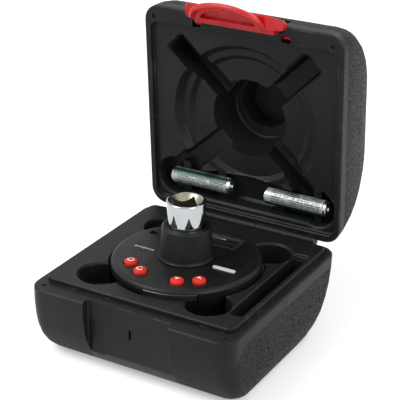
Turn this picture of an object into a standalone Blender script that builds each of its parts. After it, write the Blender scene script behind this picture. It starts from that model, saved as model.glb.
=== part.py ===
"""Torque angle gauge in its moulded case, with the lid open.

Run with: blender --background --python part.py
Metres, +Z up. The case stands on z = 0 with its front at -Y and its hinge at +Y.
The gauge's drive axis is the Z axis. The lid is modelled closed and turned open by
the empty on its hinge axis, so whatever meets when the case shuts shares its sizes.
"""

from math import cos, pi, radians, sin, sqrt

import bmesh
import bpy
from mathutils import Matrix, Vector

# Clearances
SEAT_GAP = 0.0003          # between pieces that rest on or in each other
RUNNING_GAP = 0.0004       # around a piece that moves in a bore
PANEL_CLEARANCE = 0.0008   # between the base's raised deck and the lid's recess
OVERCUT = 0.004            # how far a cutter reaches past the face it opens

# Case
CASE_WIDTH = 0.136
CASE_DEPTH = 0.136
BASE_HEIGHT = 0.047
LID_HEIGHT = 0.048
RIM_CORNER = 0.0105        # radius of the upright corners at the rim
FLOOR_CORNER = 0.0095
CROWN_CORNER = 0.016
RIM_SOFTNESS = 0.0009      # rounding of the rim's outer edge
BASE_SIDE_CURVE = (0.0056, 0.018)    # how far in, over what height
BASE_FRONT_CURVE = (0.0235, 0.0388)
BASE_REAR_CURVE = (0.046, 0.047)
LID_SIDE_CURVE = (0.007, 0.045)
LID_FRONT_CURVE = (0.043, 0.041)
LID_REAR_CURVE = (0.047, 0.047)
LID_CURVES = (LID_SIDE_CURVE, LID_FRONT_CURVE, LID_REAR_CURVE)
LID_WALL = 0.0019          # the lid is blow moulded: two skins with air between
LID_WALL_LEAN = 0.0006     # extra where the outer skin slopes
VENT_RADIUS = 0.0014       # the blowing hole, behind a spare cell
DECK_SIDE_MARGIN = 0.0048  # rim left around the base's raised deck
DECK_FRONT_MARGIN = 0.0115
DECK_REAR_MARGIN = 0.0060
DECK_HEIGHT = 0.003
DECK_CORNER = 0.005
DECK_SOFTNESS = 0.0007
PIP_RADIUS = 0.0012
PIP_HEIGHT = 0.0011
PIP_INSET = 0.0072         # from the outer faces at a front corner

# Hinge of the case
LID_OPEN_ANGLE = radians(87.5)
PARTING_GAP = 0.00075      # between the two rims when the case is shut
HINGE_SET_BACK = 0.0009    # hinge axis behind the rear faces
KNUCKLE_RADIUS = 0.0031
KNUCKLE_LENGTH = 0.0205
KNUCKLE_COUNT = 5
WEB_INSET = 0.0003
WEB_ROOT = 0.006
HINGE_PIN_RADIUS = 0.0013

# Gauge
GAUGE_RADIUS = 0.0454
GAUGE_THICKNESS = 0.020
GAUGE_SEAT_DEPTH = 0.0123  # pocket floor below the base's rim
COVER_DEPTH = 0.0068       # top cover's skirt, measured down from the face
COVER_ROUNDING = 0.0024
COVER_WALL = 0.0025
COVER_LIP = 0.0035         # how far the cover reaches in under the collar
PAN_TOP_RADIUS = 0.0440
PAN_BAND_RADIUS = 0.0412
PAN_BAND_HEIGHT = 0.0055
PAN_BOTTOM_RADIUS = 0.0385
PAN_CHAMFER = 0.0012
BOSS_WALL = 0.0032
BOSS_HEIGHT = 0.0062
HUB_PLATE_RADIUS = 0.0210  # steel measuring body inside the housing
SEAL_HEIGHT = 0.0012
SEAL_WIDTH = 0.0014
COLLAR_FOOT_RADIUS = 0.0178
COLLAR_BASE_RADIUS = 0.0169
COLLAR_TOP_RADIUS = 0.0158
COLLAR_HEIGHT = 0.0207
COLLAR_SHOULDER = 0.0022
SOCKET_RADIUS = 0.0118
SOCKET_RISE = 0.016        # bright part above the collar
SOCKET_SQUARE = 0.0129
SOCKET_LEAD_RADIUS = 0.0098
SOCKET_SQUARE_DEPTH = 0.017
SOCKET_EDGE = 0.0010
SOCKET_LEAD_DEPTH = 0.0040
SPIGOT_RADIUS = 0.0070     # turned shank that carries the square
SPIGOT_DEPTH = 0.0080      # how far it reaches up into the socket
SOCKET_LIFT = 0.0004       # socket's foot above the board
DRIVE_SQUARE = 0.0127
DRIVE_LENGTH = 0.0155
DRIVE_CHAMFER = 0.0009
DRIVE_TURN = radians(45)   # a corner of the square points to the rear
DETENT_TURN = DRIVE_TURN + pi  # the ball is in the face at the front left
DETENT_RADIUS = 0.0021
DETENT_STANDOUT = 0.0007
DETENT_UP_FROM_TIP = 0.0065
DETENT_HOLE_DEPTH = 0.0062
BUTTON_CIRCLE = 0.0340
BUTTON_ANGLES = (radians(-133.4), radians(-111.7), radians(-68.3), radians(-46.6))
BUTTON_NAMES = ("button_power", "button_reset", "button_down", "button_up")
BUTTON_RADIUS = 0.0044
BUTTON_STANDOUT = 0.0026
BUTTON_FLANGE = 0.0008     # the part that stays under the cover
BUTTON_FLANGE_HEIGHT = 0.0006
BUTTON_STEM_RADIUS = 0.0016
BUTTON_TRAVEL = 0.0008
BUTTON_DOME = 0.0012
DISPLAY_HALF_WIDTH = 0.0222
DISPLAY_FRONT = 0.0188     # from the drive axis
DISPLAY_REAR = 0.0346
DISPLAY_BORDER = 0.0026
BEZEL_SUNK = 0.0007
BEZEL_PROUD = 0.0004
WINDOW_THICKNESS = 0.0008
GLASS_THICKNESS = 0.0022
BOARD_RADIUS = 0.0392
BOARD_THICKNESS = 0.0016
BOARD_BELOW_FACE = 0.0082
POST_RADIUS = 0.0026
POST_CIRCLE = 0.0335       # three posts hold the board
POST_ANGLES = (radians(0), radians(140), radians(220))
SWITCH_SIZE = 0.0060
SWITCH_HEIGHT = 0.0022
SWITCH_DOME_RADIUS = 0.0019
SWITCH_DOME_HEIGHT = 0.0006
SOUNDER_RADIUS = 0.0060
SOUNDER_HEIGHT = 0.0040
SOUNDER_PLACE = (0.0, 0.0275)
DOOR_START = radians(-93)
DOOR_END = radians(-51)
DOOR_WALL = 0.0019
DOOR_TOP_BELOW_FACE = 0.0026
DOOR_HEIGHT = 0.0092
THUMB_TAB_SPAN = radians(11)
THUMB_TAB_DEPTH = 0.0006
BADGE_LENGTH = 0.0150
BADGE_WIDTH = 0.0030
BADGE_THICKNESS = 0.0005
BADGE_PLACE = (0.0285, -0.0050)
CLIP_NOTCH_ANGLE = radians(154)
CLIP_NOTCH_INSET = 0.0085
CLIP_NOTCH_SIZE = 0.0055
CLIP_NOTCH_DEPTH = 0.0012

# Pockets in the base
POCKET_CLEARANCE = 0.0011
POCKET_FLARE = 0.0012
POCKET_FILLET = 0.0020
LOBE_CENTRE = 0.0518       # finger lobes on the diagonals, from the drive axis
LOBE_RADIUS = 0.0137
LOBE_DEPTH = 0.0150
LOBE_FILLET = 0.0040
WELL_CLEARANCE = 0.0045    # around the drive square and under it
TROUGH_INNER = 0.0514      # long slot beside the gauge
TROUGH_OUTER = 0.0600
TROUGH_FRONT = -0.0405
TROUGH_REAR = 0.0390
TROUGH_DEPTH = 0.0130
TROUGH_STEP_LENGTH = 0.0055
TROUGH_STEP_DEPTH = 0.0018
RECESS_HALF_WIDTH = 0.0285  # bay in the front face for the handle
RECESS_SETBACK = 0.0052
RECESS_STEP_DOWN = 0.0125
RECESS_STEP_WIDTH = 0.0110
RECESS_STEP_RELIEF = 0.0012
RECESS_SLOT = (0.0016, 0.0060, 0.0020)

# Pockets in the lid
RING_CLEARANCE = 0.0007    # around the gauge's rim and over its face and buttons
RING_SLOPE = 0.0038
INNER_RING_SLOPE = 0.0030
LID_WELL_CLEARANCE = 0.0045  # around the collar and above it
WELL_MOUTH_SLOPE = 0.0042
CROWN_CLEARANCE = 0.0013   # above the bright socket
CROWN_SIDE_CLEARANCE = 0.0027  # around it at the crown's floor
CROWN_MOUTH_CLEARANCE = 0.0049  # and at its mouth, where the socket swings in
CROWN_FORWARD = 0.0003     # how far the floor's and the mouth's centres lie from the drive axis
CROWN_MOUTH_FORWARD = 0.0024
CROWN_LEAD = 0.0006
CROWN_STEPS = 32
ARM_WIDTH = 0.0146
ARM_REACH = 0.0665
ARM_DEPTH = 0.0240
ARM_SHALLOW_DEPTH = 0.0145
ARM_ANGLES = (radians(42), radians(-137), radians(-45))
ARM_SHALLOW_ANGLE = radians(138)
TROUGH_LID_WIDTH = 0.0192
TROUGH_LID_CENTRE = 0.0195  # from the hinge axis
TROUGH_LID_DEPTH = 0.0147
BAY_CENTRE = 0.0502
BAY_RADIUS = 0.0130
BAY_FROM_HINGE = 0.0213

# Spare cells
CELL_RADIUS = 0.00525
CELL_LENGTH = 0.0445
CELL_NUB_RADIUS = 0.0019
CELL_NUB_HEIGHT = 0.0012
CELL_NECK = 0.0022         # bare can beyond the sleeve at the raised end
CELL_FOOT = 0.0008         # and at the flat end
CELL_SLEEVE = 0.0003
CELL_EDGE = 0.0006
SLEEVE_GAP = 0.0002
CELL_OFFSETS = (-0.0332, 0.0351)
SADDLE_LENGTH = 0.0050
SADDLE_SPREAD = 0.0130
SADDLE_HEIGHT = 0.0046

# Handle
PIVOT_DEPTH = 0.0042       # pivot axis, into the lid from its rim
PIVOT_FROM_FRONT = 0.0078  # and in from the lid's front face
HUB_RADIUS = 0.0018
HUB_HALF_LENGTH = 0.0329
NOTCH_HALF_WIDTH = 0.0282
NOTCH_DEPTH = 0.0120
NOTCH_TAPER = 0.0012
NOTCH_SKIN = 0.0015
NOTCH_FLOOR = 0.0045       # in from the lid's front face
WINDOW_INNER = 0.0274
WINDOW_OUTER = 0.0334
HANDLE_ROOT_HALF_WIDTH = 0.0269
HANDLE_WING_HALF_WIDTH = 0.0330
HANDLE_LIP_HALF_WIDTH = 0.0278
HANDLE_LIP_DROP = 0.0155   # how far the lip hangs below the lid's rim
HANDLE_REACH = 0.0108      # how far the lip stands out from the front face
HANDLE_LIP_HEIGHT = 0.0089
HANDLE_FACE_GAP = 0.0005
HANDLE_SHOULDER_DROP = 0.0032  # wings begin this far below the lid's rim
HANDLE_NECK_DROP = 0.0006
HANDLE_BELLY_OUT = 0.0070  # how far the outer side stands out, from the tongue's foot up
HANDLE_SHOULDER_OUT = 0.0036
HANDLE_NECK_OUT = 0.0023
HANDLE_TOP_OUT = 0.0014
TONGUE_DROP = 0.0087
TONGUE_IN = 0.0033
ARCH_HALF_WIDTH = 0.0235
ARCH_RISE = 0.0112
ARCH_LEAN = 0.0062
ARCH_BAND = 0.0018
ARCH_INSET = 0.0014
SCOOP_HALF_WIDTH = 0.0185
SCOOP_REACH = 0.0067
SCOOP_INSET = 0.0010
SCOOP_DEPTH = 0.0024
HANDLE_CORNER = 0.0006
HANDLE_OVERLAP = 0.0008

# Levels and places worked out from the sizes
DECK_HALF_WIDTH = CASE_WIDTH / 2 - DECK_SIDE_MARGIN
DECK_FRONT = CASE_DEPTH / 2 - DECK_FRONT_MARGIN
DECK_REAR = CASE_DEPTH / 2 - DECK_REAR_MARGIN
RIM = BASE_HEIGHT
GAUGE_BOTTOM = RIM - GAUGE_SEAT_DEPTH + SEAT_GAP
FACE = GAUGE_BOTTOM + GAUGE_THICKNESS
SEAM = FACE - COVER_DEPTH
COLLAR_TOP = FACE + COLLAR_HEIGHT
SOCKET_TOP = COLLAR_TOP + SOCKET_RISE
BOARD_TOP = FACE - BOARD_BELOW_FACE
HINGE = Vector((0.0, CASE_DEPTH / 2 + HINGE_SET_BACK, RIM + PARTING_GAP))
PIVOT = Vector((0.0, PIVOT_FROM_FRONT - CASE_DEPTH / 2, HINGE.z + PIVOT_DEPTH))
CELL_Y = HINGE.y - TROUGH_LID_CENTRE
CELL_Z = HINGE.z + TROUGH_LID_DEPTH - SEAT_GAP - CELL_RADIUS
PANEL_DEPTH = DECK_HEIGHT + PANEL_CLEARANCE - PARTING_GAP
RING_DEPTH = FACE - HINGE.z + RING_CLEARANCE
RING_FLOOR = RING_DEPTH + BUTTON_STANDOUT
PLASTIC = (0.022, 0.023, 0.024)
ROUND_STEPS = 48
CORNER_STEPS = 4
GAUGE_STEPS = 40
COLLAR_STEPS = 32
KEY_STEPS = 16
LOBE_STEPS = 16
CELL_STEPS = 16


# Scene, materials and placing

def clear_scene():
    for item in list(bpy.data.objects):
        bpy.data.objects.remove(item, do_unlink=True)


def make_collection(name):
    collection = bpy.data.collections.new(name)
    bpy.context.scene.collection.children.link(collection)
    return collection


def make_material(name, colour, roughness, metallic=0.0, alpha=1.0):
    material = bpy.data.materials.new(name)
    material.use_nodes = True
    shader = material.node_tree.nodes["Principled BSDF"]
    shader.inputs["Base Color"].default_value = (*colour, 1.0)
    shader.inputs["Roughness"].default_value = roughness
    shader.inputs["Metallic"].default_value = metallic
    shader.inputs["Alpha"].default_value = alpha
    material.diffuse_color = (*colour, 1.0)
    return material


def make_empty(name, place, parent=None):
    """An empty on a joint's axis; a parent's place is taken off so that both are in world terms."""
    empty = bpy.data.objects.new(name, None)
    empty.empty_display_size = 0.01
    PARTS.objects.link(empty)
    origin = Vector(parent["origin"]) if parent else Vector((0.0, 0.0, 0.0))
    empty["origin"] = place
    empty.location = Vector(place) - origin
    empty.parent = parent
    return empty


def finish(item, material, axis=None, smooth_angle=35):
    """Give a sub-part its material and hang it on its joint's axis, if it has one."""
    item.data.materials.clear()
    item.data.materials.append(material)
    if smooth_angle:
        for face in item.data.polygons:
            face.use_smooth = True
        item.data.set_sharp_from_angle(angle=radians(smooth_angle))
    if axis:
        attach(item, axis)
    return item


def attach(item, axis):
    """Parent a piece modelled in world terms to an empty, with its origin on the empty."""
    origin = Vector(axis["origin"])
    item.data.transform(Matrix.Translation(-origin) @ item.matrix_basis)
    item.matrix_basis = Matrix.Identity(4)
    item.parent = axis


# Shapes

def mesh_object(name, shape, collection):
    mesh = bpy.data.meshes.new(name)
    bmesh.ops.recalc_face_normals(shape, faces=shape.faces)
    shape.to_mesh(mesh)
    shape.free()
    item = bpy.data.objects.new(name, mesh)
    collection.objects.link(item)
    return item


def rounded_ring(left, right, front, rear, corner, height, steps=CORNER_STEPS):
    """Points of a rounded rectangle at one height, counter-clockwise from +X."""
    corner = min(corner, (right - left) / 2 - 1e-5, (rear - front) / 2 - 1e-5)
    centres = ((right - corner, rear - corner), (left + corner, rear - corner),
               (left + corner, front + corner), (right - corner, front + corner))
    points = []
    for quarter, (x, y) in enumerate(centres):
        for step in range(steps + 1):
            angle = (quarter + step / steps) * pi / 2
            points.append((x + corner * cos(angle), y + corner * sin(angle), height))
    return points


def loft(name, rings, collection=None):
    """A closed solid through rings that have the same number of points."""
    shape = bmesh.new()
    rows = [[shape.verts.new(point) for point in ring] for ring in rings]
    for lower, upper in zip(rows, rows[1:]):
        for index in range(len(lower)):
            after = (index + 1) % len(lower)
            shape.faces.new((lower[index], lower[after], upper[after], upper[index]))
    shape.faces.new(rows[0])
    shape.faces.new(rows[-1])
    return mesh_object(name, shape, collection or PARTS)


def slab(name, left, right, front, rear, corner, low, high, soft=0.0, collection=None):
    """A block with round upright corners; `soft` rounds its top and bottom edges."""
    levels = [(low, soft), (low + soft, 0.0), (high - soft, 0.0), (high, soft)]
    if not soft:
        levels = [(low, 0.0), (high, 0.0)]
    rings = [rounded_ring(left + inset, right - inset, front + inset, rear - inset,
                          max(corner - inset, 1e-4), level) for level, inset in levels]
    return loft(name, rings, collection)


def pocket(name, left, right, front, rear, corner, mouth, floor, flare, fillet):
    """A cutter for a moulded pocket: rounded at its floor and eased at its mouth.

    The mouth may be above the floor, as in the base, or below it, as in the lid.
    """
    out = 1.0 if mouth > floor else -1.0
    levels = [(floor, -fillet), (floor + out * fillet, 0.0), (mouth - out * flare, 0.0),
              (mouth, flare), (mouth + out * OVERCUT, flare)]
    rings = [rounded_ring(left - grow, right + grow, front - grow, rear + grow,
                          corner + grow, level) for level, grow in levels]
    return loft(name, rings, CUTTERS)


def turned(name, profile, steps=ROUND_STEPS, collection=None, closed=False, sweep=2 * pi):
    """A Screw modifier around Z on a profile of (radius, height) points."""
    mesh = bpy.data.meshes.new(name)
    edges = [(index, index + 1) for index in range(len(profile) - 1)]
    if closed:
        edges.append((len(profile) - 1, 0))
    mesh.from_pydata([(radius, 0.0, height) for radius, height in profile], edges, [])
    item = bpy.data.objects.new(name, mesh)
    (collection or PARTS).objects.link(item)
    screw = item.modifiers.new("Turn", "SCREW")
    screw.axis = "Z"
    screw.angle = sweep
    screw.steps = steps
    screw.render_steps = steps
    screw.use_merge_vertices = True
    screw.merge_threshold = 1e-5
    screw.use_normal_calculate = True
    return freeze(item)


def freeze(item, weld=1e-6):
    """Replace an object's mesh by what its modifiers or curve give, made one closed skin."""
    bpy.context.view_layer.update()
    graph = bpy.context.evaluated_depsgraph_get()
    mesh = bpy.data.meshes.new_from_object(item.evaluated_get(graph), depsgraph=graph)
    shape = bmesh.new()
    shape.from_mesh(mesh)
    bmesh.ops.remove_doubles(shape, verts=shape.verts, dist=weld)
    bmesh.ops.recalc_face_normals(shape, faces=shape.faces)
    shape.to_mesh(mesh)
    shape.free()
    if item.type == "MESH":
        item.modifiers.clear()
        item.data = mesh
        return item
    name = item.name
    solid = bpy.data.objects.new(name + "_solid", mesh)
    solid.matrix_world = item.matrix_world
    item.users_collection[0].objects.link(solid)
    bpy.data.objects.remove(item, do_unlink=True)
    solid.name = name
    return solid


def outline_solid(name, points, thickness, collection=None):
    """A flat outline as a filled 2D curve, extruded to a thickness centred on its plane."""
    curve = bpy.data.curves.new(name, "CURVE")
    curve.dimensions = "2D"
    curve.fill_mode = "BOTH"
    curve.extrude = thickness / 2
    line = curve.splines.new("POLY")
    line.points.add(len(points) - 1)
    for point, (x, y) in zip(line.points, points):
        point.co = (x, y, 0.0, 1.0)
    line.use_cyclic_u = True
    item = bpy.data.objects.new(name, curve)
    (collection or PARTS).objects.link(item)
    return freeze(item)


def side_profile(name, points, half_width, collection=None):
    """An outline of (y, z) points carried across the case along X."""
    item = outline_solid(name, points, 2 * half_width, collection)
    turn = Matrix(((0, 0, 1, 0), (1, 0, 0, 0), (0, 1, 0, 0), (0, 0, 0, 1)))
    item.data.transform(turn)
    return item


def cylinder(name, radius, low, high, place=(0.0, 0.0), steps=32, collection=None):
    shape = bmesh.new()
    bmesh.ops.create_cone(shape, cap_ends=True, segments=steps, radius1=radius, radius2=radius,
                          depth=high - low)
    bmesh.ops.translate(shape, verts=shape.verts, vec=(place[0], place[1], (low + high) / 2))
    return mesh_object(name, shape, collection or PARTS)


def rod(name, radius, left, right, y, z, steps=20, collection=None):
    """A cylinder along X."""
    item = cylinder(name, radius, left, right, steps=steps, collection=collection)
    item.data.transform(Matrix.Translation((0.0, y, z)) @ Matrix.Rotation(pi / 2, 4, "Y"))
    return item


def block(name, left, right, front, rear, low, high, collection=None):
    shape = bmesh.new()
    bmesh.ops.create_cube(shape, size=1.0)
    bmesh.ops.scale(shape, verts=shape.verts, vec=(right - left, rear - front, high - low))
    middle = ((left + right) / 2, (front + rear) / 2, (low + high) / 2)
    bmesh.ops.translate(shape, verts=shape.verts, vec=middle)
    return mesh_object(name, shape, collection or PARTS)


def combine(item, tool, operation):
    """An EXACT Boolean with a tool that stays, hidden, in the cutters' collection."""
    for owner in list(tool.users_collection):
        owner.objects.unlink(tool)
    CUTTERS.objects.link(tool)
    tool.hide_render = True
    tool.display_type = "WIRE"
    step = item.modifiers.new(tool.name, "BOOLEAN")
    step.operation = operation
    step.solver = "EXACT"
    step.object = tool
    return freeze(item, 1e-7)


def cut(item, *tools):
    for tool in tools:
        combine(item, tool, "DIFFERENCE")
    return item


def join(item, *tools):
    for tool in tools:
        combine(item, tool, "UNION")
    return item


def turn_about_z(item, angle, place=(0.0, 0.0)):
    item.data.transform(Matrix.Translation((place[0], place[1], 0.0)) @ Matrix.Rotation(angle, 4, "Z"))
    return item


# Case

def curve_in(depth, height, curve):
    """How far a wall has curved in, `depth` away from the rim."""
    run, rise = curve
    into = max(0.0, depth - (height - rise)) / rise
    return run * (1.0 - sqrt(max(0.0, 1.0 - into * into)))


def case_ring(depth, inset, height, curves, end_corner, level, steps):
    """The case's outline `depth` away from the rim, drawn in by `inset`."""
    side, front, rear = [curve_in(depth, height, curve) + inset for curve in curves]
    corner = RIM_CORNER + (end_corner - RIM_CORNER) * depth / height - inset
    return rounded_ring(side - CASE_WIDTH / 2, CASE_WIDTH / 2 - side, front - CASE_DEPTH / 2,
                        CASE_DEPTH / 2 - rear, corner, level, steps)


def case_half(name, height, curves, end_corner, rim_level, away):
    """One moulded half: rounded-rectangle rings that curve in as they leave the rim."""
    bends = 8
    levels = [(0.0, RIM_SOFTNESS), (RIM_SOFTNESS, 0.0)]
    levels += [(height * sin(pi / 2 * bend / bends), 0.0) for bend in range(1, bends + 1)]
    return loft(name, [case_ring(depth, inset, height, curves, end_corner, rim_level + away * depth, 6)
                       for depth, inset in levels])


def knuckle_bounds(index):
    pitch = KNUCKLE_LENGTH + RUNNING_GAP
    middle = (index - (KNUCKLE_COUNT - 1) / 2) * pitch
    return middle - KNUCKLE_LENGTH / 2, middle + KNUCKLE_LENGTH / 2


def add_knuckles(item, indices, web_low, web_high):
    """Barrels around the hinge axis, each with a web into the rear wall of its half."""
    for index in indices:
        left, right = knuckle_bounds(index)
        name = f"{item.name}_knuckle_{index}"
        barrel = rod(name, KNUCKLE_RADIUS, left, right, HINGE.y, HINGE.z, 18)
        web = block(name + "_web", left + WEB_INSET, right - WEB_INSET, HINGE.y - WEB_ROOT,
                    HINGE.y + KNUCKLE_RADIUS * 0.8, web_low, web_high)
        join(item, web, barrel)


def clear_knuckles(item, indices):
    """Room for the other half's barrels, at every angle of the lid."""
    for index in indices:
        left, right = knuckle_bounds(index)
        name = f"{item.name}_room_{index}"
        room = rod(name, KNUCKLE_RADIUS + RUNNING_GAP, left - RUNNING_GAP / 2, right + RUNNING_GAP / 2,
                   HINGE.y, HINGE.z, 18, CUTTERS)
        cut(item, room)


def gauge_pocket():
    radius = GAUGE_RADIUS + POCKET_CLEARANCE
    mouth = RIM + DECK_HEIGHT
    floor = RIM - GAUGE_SEAT_DEPTH
    profile = [(0.0, floor), (radius - POCKET_FILLET, floor), (radius, floor + POCKET_FILLET),
               (radius, mouth - POCKET_FLARE), (radius + POCKET_FLARE, mouth),
               (radius + POCKET_FLARE, mouth + OVERCUT), (0.0, mouth + OVERCUT)]
    return turned("cut_pocket", profile, ROUND_STEPS, CUTTERS)


def finger_lobe(index):
    """A scoop beside the gauge where a finger reaches under its rim."""
    mouth = RIM + DECK_HEIGHT
    floor = RIM - LOBE_DEPTH
    profile = [(0.0, floor), (LOBE_RADIUS - LOBE_FILLET, floor), (LOBE_RADIUS, floor + LOBE_FILLET),
               (LOBE_RADIUS, mouth - POCKET_FLARE), (LOBE_RADIUS + POCKET_FLARE, mouth),
               (LOBE_RADIUS + POCKET_FLARE, mouth + OVERCUT), (0.0, mouth + OVERCUT)]
    angle = radians(45 + 90 * index)
    lobe = turned(f"cut_lobe_{index}", profile, LOBE_STEPS, CUTTERS)
    return turn_about_z(lobe, 0.0, (LOBE_CENTRE * cos(angle), LOBE_CENTRE * sin(angle)))


def drive_well():
    radius = DRIVE_SQUARE / sqrt(2) + WELL_CLEARANCE
    floor = GAUGE_BOTTOM - DRIVE_LENGTH - WELL_CLEARANCE
    ledge = RIM - GAUGE_SEAT_DEPTH
    profile = [(0.0, floor), (radius - 0.001, floor), (radius, floor + 0.001), (radius, ledge - 0.001),
               (radius + 0.001, ledge), (radius + 0.001, ledge + OVERCUT), (0.0, ledge + OVERCUT)]
    return turned("cut_well", profile, 24, CUTTERS)


def side_trough():
    mouth = RIM + DECK_HEIGHT
    long = pocket("cut_trough", TROUGH_INNER, TROUGH_OUTER, TROUGH_FRONT, TROUGH_REAR, 0.002,
                  mouth, RIM - TROUGH_DEPTH, 0.0006, 0.0015)
    step = pocket("cut_trough_step", TROUGH_INNER, TROUGH_OUTER, TROUGH_REAR - 0.003,
                  TROUGH_REAR + TROUGH_STEP_LENGTH, 0.002, mouth, mouth - TROUGH_STEP_DEPTH, 0.0004, 0.0004)
    return long, step


def front_recess():
    """The bay the handle folds into, with its stepped floor and a narrow slot."""
    face = -CASE_DEPTH / 2
    floor = face + RECESS_SETBACK
    bay = slab("cut_recess", -RECESS_HALF_WIDTH, RECESS_HALF_WIDTH, face - OVERCUT, floor, 0.001,
               RIM - BASE_HEIGHT, RIM + OVERCUT, collection=CUTTERS)
    low = RIM - BASE_HEIGHT
    step = block("cut_recess_step", -RECESS_HALF_WIDTH + 0.0004, -RECESS_HALF_WIDTH + RECESS_STEP_WIDTH,
                 face, floor + RECESS_STEP_RELIEF, low, RIM - RECESS_STEP_DOWN, CUTTERS)
    width, tall, deep = RECESS_SLOT
    slot = block("cut_recess_slot", -width / 2, width / 2, face, floor + deep,
                 RIM - RECESS_STEP_DOWN - tall, RIM - RECESS_STEP_DOWN, CUTTERS)
    return bay, step, slot


def build_case_base(plastic):
    curves = (BASE_SIDE_CURVE, BASE_FRONT_CURVE, BASE_REAR_CURVE)
    base = case_half("case_base", BASE_HEIGHT, curves, FLOOR_CORNER, RIM, -1.0)
    deck = slab("case_deck", -DECK_HALF_WIDTH, DECK_HALF_WIDTH, -DECK_FRONT, DECK_REAR, DECK_CORNER,
                RIM - OVERCUT, RIM + DECK_HEIGHT, DECK_SOFTNESS)
    join(base, deck)
    for side in (-1, 1):
        place = (side * (CASE_WIDTH / 2 - PIP_INSET), PIP_INSET - CASE_DEPTH / 2)
        join(base, cylinder(f"case_pip_{side}", PIP_RADIUS, RIM - 0.001, RIM + PIP_HEIGHT - PARTING_GAP / 2,
                            place, 12))
    add_knuckles(base, range(0, KNUCKLE_COUNT, 2), RIM - 0.009, RIM - 0.0005)
    clear_knuckles(base, range(1, KNUCKLE_COUNT, 2))
    cut(base, rod("cut_base_pin", HINGE_PIN_RADIUS + SEAT_GAP, *pin_bounds(SEAT_GAP), HINGE.y, HINGE.z,
                  16, CUTTERS))
    cut(base, gauge_pocket(), drive_well())
    cut(base, *[finger_lobe(index) for index in range(4)])
    cut(base, *side_trough())
    cut(base, *front_recess())
    return finish(base, plastic)


def pin_bounds(extra=0.0):
    left = knuckle_bounds(0)[0] + 0.001
    right = knuckle_bounds(KNUCKLE_COUNT - 1)[1] - 0.001
    return left - extra, right + extra


def build_hinge_pin(steel):
    pin = rod("hinge_pin", HINGE_PIN_RADIUS, *pin_bounds(), HINGE.y, HINGE.z, 16)
    return finish(pin, steel)


def lid_rings():
    """Shallow rings that clear the gauge's rim and its buttons."""
    rim = HINGE.z
    outer = GAUGE_RADIUS + RING_CLEARANCE
    inner = BUTTON_CIRCLE + BUTTON_RADIUS + RING_CLEARANCE
    floor = rim + RING_FLOOR
    profile = [(0.0, rim - OVERCUT), (outer + RING_SLOPE, rim - OVERCUT),
               (outer + RING_SLOPE, rim + PANEL_DEPTH), (outer, rim + RING_DEPTH),
               (inner + INNER_RING_SLOPE, rim + RING_DEPTH), (inner, floor), (0.0, floor)]
    return turned("cut_rings", profile, ROUND_STEPS, CUTTERS)


def lid_well():
    """The well for the collar, with a ledge round the deeper crown."""
    rim = HINGE.z
    throat = COLLAR_BASE_RADIUS + LID_WELL_CLEARANCE
    ledge = COLLAR_TOP + LID_WELL_CLEARANCE
    profile = [(0.0, rim), (throat + WELL_MOUTH_SLOPE + 0.001, rim),
               (throat + WELL_MOUTH_SLOPE, rim + RING_FLOOR + 0.001), (throat, ledge - 0.001),
               (throat - 0.001, ledge), (0.0, ledge)]
    return turned("cut_lid_well", profile, CROWN_STEPS, CUTTERS)


def crown_ring(clearance, forward, level):
    """A circle round the bright socket, moved away from the hinge."""
    radius = SOCKET_RADIUS + clearance
    turns = [2 * pi * step / CROWN_STEPS for step in range(CROWN_STEPS)]
    return [(radius * cos(turn), radius * sin(turn) - forward, level) for turn in turns]


def lid_crown(name, wall, top):
    """Room for the bright socket, which swings in on an arc: widest and furthest forward at the ledge."""
    ledge = COLLAR_TOP + LID_WELL_CLEARANCE
    mouth = CROWN_MOUTH_CLEARANCE + wall
    rings = [crown_ring(mouth + CROWN_LEAD, CROWN_MOUTH_FORWARD, ledge - 0.001),
             crown_ring(mouth + CROWN_LEAD, CROWN_MOUTH_FORWARD, ledge),
             crown_ring(mouth, CROWN_MOUTH_FORWARD, ledge + 0.001),
             crown_ring(CROWN_SIDE_CLEARANCE + wall, CROWN_FORWARD, top)]
    return loft(name, rings, CUTTERS)


def lid_arm(name, angle, depth):
    """One arm of the cross, from the drive axis out along a diagonal."""
    rim = HINGE.z
    arm = pocket(name, 0.0, ARM_REACH, -ARM_WIDTH / 2, ARM_WIDTH / 2, 0.0025,
                 rim + PANEL_DEPTH, rim + depth, 0.0015, 0.002)
    return turn_about_z(arm, angle)


def cell_trough():
    """One long pocket for the two spare cells, with a round finger bay at each end."""
    mouth = HINGE.z + PANEL_DEPTH
    floor = HINGE.z + TROUGH_LID_DEPTH
    bay_y = HINGE.y - BAY_FROM_HINGE
    long = pocket("cut_cells", -BAY_CENTRE, BAY_CENTRE, CELL_Y - TROUGH_LID_WIDTH / 2,
                  CELL_Y + TROUGH_LID_WIDTH / 2, 0.003, mouth, floor, 0.0012, 0.0015)
    bays = [pocket(f"cut_bay_{side}", side * BAY_CENTRE - BAY_RADIUS, side * BAY_CENTRE + BAY_RADIUS,
                   bay_y - BAY_RADIUS, bay_y + BAY_RADIUS, BAY_RADIUS - 0.0001, mouth, floor, 0.0012, 0.0015)
            for side in (-1, 1)]
    return [long, *bays]


def cell_saddle(name, x):
    """A rib across the trough, hollowed to hold a cell off the floor."""
    floor = HINGE.z + TROUGH_LID_DEPTH
    rib = block(name, x - SADDLE_LENGTH / 2, x + SADDLE_LENGTH / 2, CELL_Y - TROUGH_LID_WIDTH / 2 - 0.001,
                CELL_Y + TROUGH_LID_WIDTH / 2 + 0.001, floor - SADDLE_HEIGHT, floor + 0.002)
    seat = rod(name + "_seat", CELL_RADIUS + SEAT_GAP, x - SADDLE_LENGTH, x + SADDLE_LENGTH, CELL_Y, CELL_Z,
               20, CUTTERS)
    return cut(rib, seat)


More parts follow.
